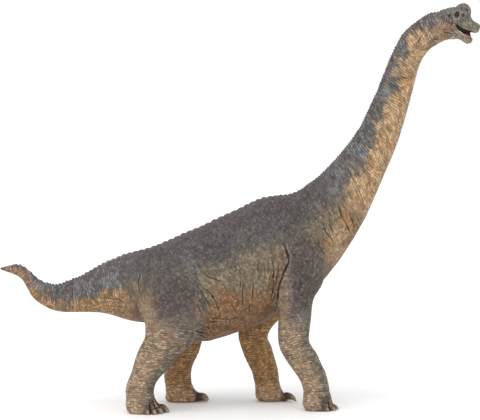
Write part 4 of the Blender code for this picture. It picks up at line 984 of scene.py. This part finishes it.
# Pebbles crossed by slanting wrinkles, in the round.
wobble = noise(tree, at, 420.0, 1.0)["Color"]
warped = node(tree, "ShaderNodeVectorMath", {0: at, 1: node(
    tree, "ShaderNodeVectorMath", {0: wobble, 1: (0.0011, 0.0011, 0.0011)},
    operation="MULTIPLY").outputs[0]}, operation="ADD").outputs[0]
pebble_line, pebble_shade = cells(tree, resize(tree, warped, (1.0, 0.8, 0.72), 0.5), 1 / PEBBLE_SIZE)
grit_line, grit_shade = cells(tree, warped, 1 / GRIT_SIZE)
wrinkles = 1.0
for turn in (0.62, -0.55):
    run = noise(tree, resize(tree, at, tuple(1 / (size * MM) for size in WRINKLE_SIZE), turn), 1.0, 1.5)["Fac"]
    line = stretch(tree, maths(tree, "ABSOLUTE", maths(tree, "SUBTRACT", run, 0.5)), 0.0, 0.075)
    wrinkles = maths(tree, "MINIMUM", line, wrinkles)
pebble = stretch(tree, pebble_line, 0.0, 0.24)
grit = stretch(tree, grit_line, 0.0, 0.26)
body_form = maths(tree, "MINIMUM", between(tree, 0.75, 1.0, pebble), between(tree, 0.8, 1.0, wrinkles))
body_form = between(tree, 0.2, body_form, grit)
head_form = between(tree, 0.45, pebble, grit)
form = between(tree, maths(tree, "MULTIPLY", zones["X"], 0.9), body_form, ring_form)
form = between(tree, zones["Y"], form, head_form)
shade = between(tree, zones["X"], pebble_shade, scute_shade)
shade = between(tree, 0.3, shade, grit_shade)

# The two coats meet in streaks along the rings.
streak = noise(tree, resize(tree, ring_place, (0.55, 0.1, 0.1)), 1.0, 3.0, 0.6)["Fac"]
drift = noise(tree, at, 75.0, 2.0)["Fac"]
meet = maths(tree, "ADD", levels["X"], maths(tree, "ADD", stretch(tree, streak, 0.3, 0.7, -4.5, 4.5),
                                             stretch(tree, drift, 0.3, 0.7, -3.0, 3.0)))
colour = blend(tree, "MIX", stretch(tree, meet, -4.5, 4.5), upper_coat, under_coat)
mottle = noise(tree, at, 170.0, 4.0, 0.62)["Fac"]
speck = noise(tree, at, 950.0, 3.0, 0.7)["Fac"]
colour = blend(tree, "MULTIPLY", 1.0, colour, stretch(tree, mottle, 0.3, 0.7, 0.78, 1.2))
colour = blend(tree, "MULTIPLY", 1.0, colour, stretch(tree, shade, 0.05, 0.95, 0.66, 1.36))
blush = noise(tree, at, 520.0, 2.0)["Fac"]
colour = blend(tree, "MIX", maths(tree, "MULTIPLY", zones["Y"], stretch(tree, blush, 0.5, 0.72, 0.0, 0.55)),
               colour, socket_of(HEAD_PINK))
wash = blend(tree, "MIX", levels["Y"], socket_of(WASH_BROWN), socket_of(WASH_BLACK))
brush = blend(tree, "MIX", levels["Y"], socket_of(BRUSH_CREAM), socket_of(BRUSH_GREY))
hollow = maths(tree, "MULTIPLY", maths(tree, "SUBTRACT", 1.0, form), 0.72)
hollow = maths(tree, "MAXIMUM", hollow, maths(tree, "MULTIPLY", marks["X"], 0.7))
hollow = maths(tree, "MULTIPLY", hollow, stretch(tree, speck, 0.25, 0.6, 0.6, 1.0), True)
colour = blend(tree, "MIX", hollow, colour, wash)
raised = maths(tree, "ADD", maths(tree, "MULTIPLY", marks["Y"], 0.45), stretch(tree, form, 0.8, 1.0, 0.0, 0.3))
raised = maths(tree, "MULTIPLY", raised, stretch(tree, speck, 0.42, 0.66, 0.1, 1.0), True)
raised = maths(tree, "MULTIPLY", raised, stretch(tree, shade, 0.35, 0.9, 0.25, 1.0))
colour = blend(tree, "MIX", raised, colour, brush)
colour = blend(tree, "MIX", stretch(tree, marks["Z"], 0.12, 0.75, 0.0, 0.85), colour, socket_of(CRACK_BROWN))
# The inside of the mouth is painted black as painted shade.
colour = blend(tree, "MIX", zones["Z"], colour, socket_of(SHADE_BLACK))
tree.links.new(colour, shader.inputs["Base Color"])
roughness = stretch(tree, mottle, 0.3, 0.7, 0.52, 0.7)
tree.links.new(maths(tree, "SUBTRACT", roughness, maths(tree, "MULTIPLY", zones["Z"], 0.25)),
               shader.inputs["Roughness"])
shader.inputs["Specular IOR Level"].default_value = 0.3
bump_height = maths(tree, "ADD", form, maths(tree, "MULTIPLY", speck, 0.35))
bump = node(tree, "ShaderNodeBump", {"Height": bump_height, "Distance": BUMP_DEPTH, "Strength": 1.0})
tree.links.new(bump.outputs["Normal"], shader.inputs["Normal"])
skin.data.materials.append(skin_paint)
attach(skin, "root")
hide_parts(*flesh_nodes)


# Eyes. Two small balls moulded with the head and painted a glossy dark navy, which the
# lids hold by their rims.
EYE_SIDE = 6.3
EYE_RADII = (1.2, 1.22, 1.42)
EYE_NAVY = (12, 14, 34)
IRIS_BLUE = (34, 40, 74)
PUPIL_BLACK = (8, 8, 14)

eye_paint, tree, shader = new_material("painted_eye")
at = node(tree, "ShaderNodeTexCoord").outputs["Object"]
fleck = node(tree, "ShaderNodeTexNoise", {"Vector": at, "Scale": 2600.0, "Detail": 3.0}).outputs["Fac"]
rim = node(tree, "ShaderNodeAttribute", attribute_name="from_middle").outputs["Fac"]
iris = blend(tree, "MIX", stretch(tree, fleck, 0.35, 0.7), socket_of(EYE_NAVY), socket_of(IRIS_BLUE))
ball = blend(tree, "MIX", stretch(tree, rim, 0.28, 0.4), socket_of(PUPIL_BLACK), iris)
tree.links.new(blend(tree, "MIX", stretch(tree, rim, 0.62, 0.95), ball, socket_of(EYE_NAVY)),
               shader.inputs["Base Color"])
tree.links.new(stretch(tree, fleck, 0.3, 0.7, 0.08, 0.2), shader.inputs["Roughness"])
shader.inputs["Specular IOR Level"].default_value = 0.6
shader.inputs["Coat Weight"].default_value = 0.5
shader.inputs["Coat Roughness"].default_value = 0.08
for name, side in (("right", -1), ("left", 1)):
    bpy.ops.mesh.primitive_uv_sphere_add(
        segments=48, ring_count=32, radius=1.0, location=on_head(*EYE_PLACE, side * EYE_SIDE),
        rotation=(0, HEAD_PITCH, 0), scale=tuple(radius * MM for radius in EYE_RADII))
    eye = bpy.context.object
    eye.name = "eyeball_" + name
    bpy.ops.object.transform_apply(location=True, rotation=True, scale=True)
    spot = head_view(places_of(eye)) - np.array(EYE_PLACE)
    store(eye, "from_middle", np.linalg.norm(spot / np.array(EYE_RADII)[[0, 2]], axis=1))
    eye.data.shade_smooth()
    eye.data.materials.append(eye_paint)
    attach(eye, "root")
    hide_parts("eye_" + name)


# Tongue. A low pad lying in the floor of the mouth, moulded with it and painted pink,
# with a furrow down its middle. Its furrow and its back are darkened with painted shade.
TONGUE_PLACE = (12.2, -2.6)
TONGUE_RADII = (4.9, 3.2, 1.4)
TONGUE_DIP = math.radians(10.0)
TONGUE_PINK = (172, 104, 104)
TONGUE_SHADE_RED = (104, 46, 50)

bpy.ops.mesh.primitive_uv_sphere_add(
    segments=64, ring_count=40, radius=1.0, location=on_head(*TONGUE_PLACE),
    rotation=(0, HEAD_PITCH + TONGUE_DIP, 0), scale=tuple(radius * MM for radius in TONGUE_RADII))
tongue = bpy.context.object
tongue.name = "tongue_pad"
bpy.ops.object.transform_apply(location=True, rotation=True, scale=True)
points = places_of(tongue)
lie = head_view(points) - np.array(TONGUE_PLACE)
furrow = np.exp(-(points[:, 1] / 0.6) ** 2) * ramp(lie[:, 1], -0.3, 0.6)
points -= normals_of(tongue) * (0.32 * furrow + 0.06 * uneven(points, (0.9, 0.9, 0.9), 30))[:, None]
put_places(tongue, points)
# Painted shade: how far the tongue darkens, in its furrow and towards the back of the mouth.
store(tongue, "depth", np.clip(furrow + ramp(lie[:, 0], 1.0, -4.0), 0, 1))
tongue.data.shade_smooth()
tongue_paint, tree, shader = new_material("painted_tongue")
at = node(tree, "ShaderNodeTexCoord").outputs["Object"]
bumps = node(tree, "ShaderNodeTexNoise", {"Vector": at, "Scale": 2200.0, "Detail": 2.0}).outputs["Fac"]
depth = node(tree, "ShaderNodeAttribute", attribute_name="depth").outputs["Fac"]
tree.links.new(blend(tree, "MIX", maths(tree, "ADD", depth, stretch(tree, bumps, 0.55, 0.35, 0.0, 0.4), True),
                     socket_of(TONGUE_PINK), socket_of(TONGUE_SHADE_RED)), shader.inputs["Base Color"])
tree.links.new(stretch(tree, bumps, 0.3, 0.7, 0.28, 0.45), shader.inputs["Roughness"])
bump = node(tree, "ShaderNodeBump", {"Height": bumps, "Distance": 0.12 * MM, "Strength": 0.7})
tree.links.new(bump.outputs["Normal"], shader.inputs["Normal"])
tongue.data.materials.append(tongue_paint)
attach(tongue, "root")
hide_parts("tongue")


# Teeth. Short blunt pegs moulded along the rim of the lower jaw and touched with ivory
# paint, leaning a little outwards.
TEETH_PER_SIDE = 9
TEETH_START = (5.2, 5.9)
TEETH_END = (17.0, 2.7)
TOOTH_RADIUS = 0.42
TOOTH_HEIGHT = 0.75
TOOTH_IVORY = (206, 196, 172)
TOOTH_STAIN = (128, 108, 84)

teeth = []
upward = (on_head(0, 1) - on_head(0, 0)).normalized()
for side in (-1, 1):
    for i in range(TEETH_PER_SIDE):
        t = i / (TEETH_PER_SIDE - 1)
        ahead = TEETH_START[0] + (TEETH_END[0] - TEETH_START[0]) * t
        out = TEETH_START[1] + (TEETH_END[1] - TEETH_START[1]) * t ** 2.2
        found, root, _, _ = skin.ray_cast(on_head(ahead, 0.6, side * out), -upward)
        if not found:
            continue
        size = 1.0 + 0.14 * math.sin(5.0 * i + side)
        bpy.ops.mesh.primitive_uv_sphere_add(
            segments=12, ring_count=8, radius=1.0, location=root + upward * TOOTH_HEIGHT * 0.25 * MM,
            rotation=(math.radians(8 * side), HEAD_PITCH, 0),
            scale=(TOOTH_RADIUS * MM, TOOTH_RADIUS * 0.8 * MM, TOOTH_HEIGHT * size * MM))
        teeth.append(bpy.context.object)
take_up(teeth[0])
for tooth_piece in teeth:
    tooth_piece.select_set(True)
bpy.ops.object.join()
tooth_row = bpy.context.object
tooth_row.name = "tooth_row"
bpy.ops.object.transform_apply(location=True, rotation=True, scale=True)
tooth_row.data.shade_smooth()
tooth_paint, tree, shader = new_material("ivory_paint")
at = node(tree, "ShaderNodeTexCoord").outputs["Object"]
stain = node(tree, "ShaderNodeTexNoise", {"Vector": at, "Scale": 1500.0, "Detail": 3.0}).outputs["Fac"]
tree.links.new(blend(tree, "MIX", stretch(tree, stain, 0.45, 0.75), socket_of(TOOTH_IVORY),
                     socket_of(TOOTH_STAIN)), shader.inputs["Base Color"])
tree.links.new(stretch(tree, stain, 0.3, 0.7, 0.3, 0.5), shader.inputs["Roughness"])
bump = node(tree, "ShaderNodeBump", {"Height": stain, "Distance": 0.05 * MM, "Strength": 0.5})
tree.links.new(bump.outputs["Normal"], shader.inputs["Normal"])
tooth_row.data.materials.append(tooth_paint)
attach(tooth_row, "root")


# Claws. Thick nails of the same plastic that end every toe, the inner one the longest,
# moulded with the feet, painted horn brown and rubbed light at their tips.
CLAW_ROOT = 3.2
CLAW_TALLNESS = 1.12
CLAW_CLEARANCE = 0.25
CLAW_FULLNESS = 1.08
HORN_BROWN = (92, 72, 56)
HORN_DARK = (48, 38, 33)
HORN_TIP = (170, 146, 118)

claw_paint, tree, shader = new_material("horn_paint")
at = node(tree, "ShaderNodeTexCoord").outputs["Object"]
length_along = node(tree, "ShaderNodeAttribute", attribute_name="claw_run").outputs["Vector"]
streaks = node(tree, "ShaderNodeTexNoise", {
    "Vector": node(tree, "ShaderNodeMapping", {"Vector": length_along, "Scale": (0.4, 2.6, 2.6)}).outputs[0],
    "Scale": 1.0, "Detail": 3.0, "Roughness": 0.6}).outputs["Fac"]
worn = node(tree, "ShaderNodeTexNoise", {"Vector": at, "Scale": 900.0, "Detail": 3.0}).outputs["Fac"]
tip = node(tree, "ShaderNodeAttribute", attribute_name="to_tip").outputs["Fac"]
horn = blend(tree, "MIX", stretch(tree, streaks, 0.35, 0.7), socket_of(HORN_DARK), socket_of(HORN_BROWN))
rubbed = maths(tree, "MULTIPLY", stretch(tree, tip, 0.45, 0.95), stretch(tree, worn, 0.3, 0.62, 0.3, 0.95), True)
horn = blend(tree, "MIX", rubbed, horn, socket_of(HORN_TIP))
tree.links.new(blend(tree, "MIX", stretch(tree, tip, 0.42, 0.2), horn, socket_of(HORN_DARK)),
               shader.inputs["Base Color"])
tree.links.new(stretch(tree, streaks, 0.3, 0.7, 0.42, 0.6), shader.inputs["Roughness"])
bump = node(tree, "ShaderNodeBump", {"Height": maths(tree, "ADD", streaks, worn),
                                     "Distance": 0.1 * MM, "Strength": 0.6})
tree.links.new(bump.outputs["Normal"], shader.inputs["Normal"])


def shape_claw(root, heading, length, width, root_height):
    """A ball drawn out into a nail: full at the root, arched, flat below, blunt at the tip."""
    bpy.ops.mesh.primitive_uv_sphere_add(segments=22, ring_count=18, radius=1.0, rotation=(0, math.pi / 2, 0))
    bpy.ops.object.transform_apply(location=False, rotation=True, scale=False)
    claw = bpy.context.object
    ball = places_of(claw) * MM
    run = (ball[:, 0] + 1) / 2
    turn = ball[:, 1:] / np.maximum(np.linalg.norm(ball[:, 1:], axis=1), 1e-6)[:, None]
    size = np.sqrt(np.clip(1 - run ** 2.8, 0, 1)) * np.sqrt(np.clip(run / 0.12, 0, 1))
    lowest = width * CLAW_TALLNESS / 2 * size + CLAW_CLEARANCE
    arch = np.maximum(root_height * (1 - run ** 2) + lowest * run ** 2, lowest)
    out = turn[:, 0] * width / 2 * size * CLAW_FULLNESS
    up = arch + np.where(turn[:, 1] > 0, 1.0, 0.9) * turn[:, 1] * CLAW_TALLNESS * width / 2 * size * CLAW_FULLNESS
    side_way = np.array([-heading.y, heading.x])
    ground = np.array(root[:2]) + np.outer(run * length, heading[:2]) + np.outer(out, side_way)
    points = np.column_stack([ground, np.maximum(up, 0.02)])
    points += 0.05 * uneven(points, (0.8, 0.8, 0.8), 31)[:, None] * np.array([0, 0, 1.0]) * (up > 0.4)[:, None]
    put_places(claw, points)
    store(claw, "to_tip", run)
    store(claw, "claw_run", np.column_stack([run * length, out, up]))
    return claw


for name, leg in LEGS.items():
    claws = []
    for angle, front, radius, length, width, height_of_root in DIGITS[name]:
        heading, _ = heading_of(angle, leg["side"])
        root = Vector((*leg["foot"], 0)) + heading * (front - CLAW_ROOT)
        claws.append(shape_claw(root, heading, length + CLAW_ROOT, width, height_of_root))
    take_up(claws[0])
    for claw in claws:
        claw.select_set(True)
    bpy.ops.object.join()
    nails = bpy.context.object
    nails.name = "claws_" + name
    nails.data.shade_smooth()
    nails.data.materials.append(claw_paint)
    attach(nails, "root")
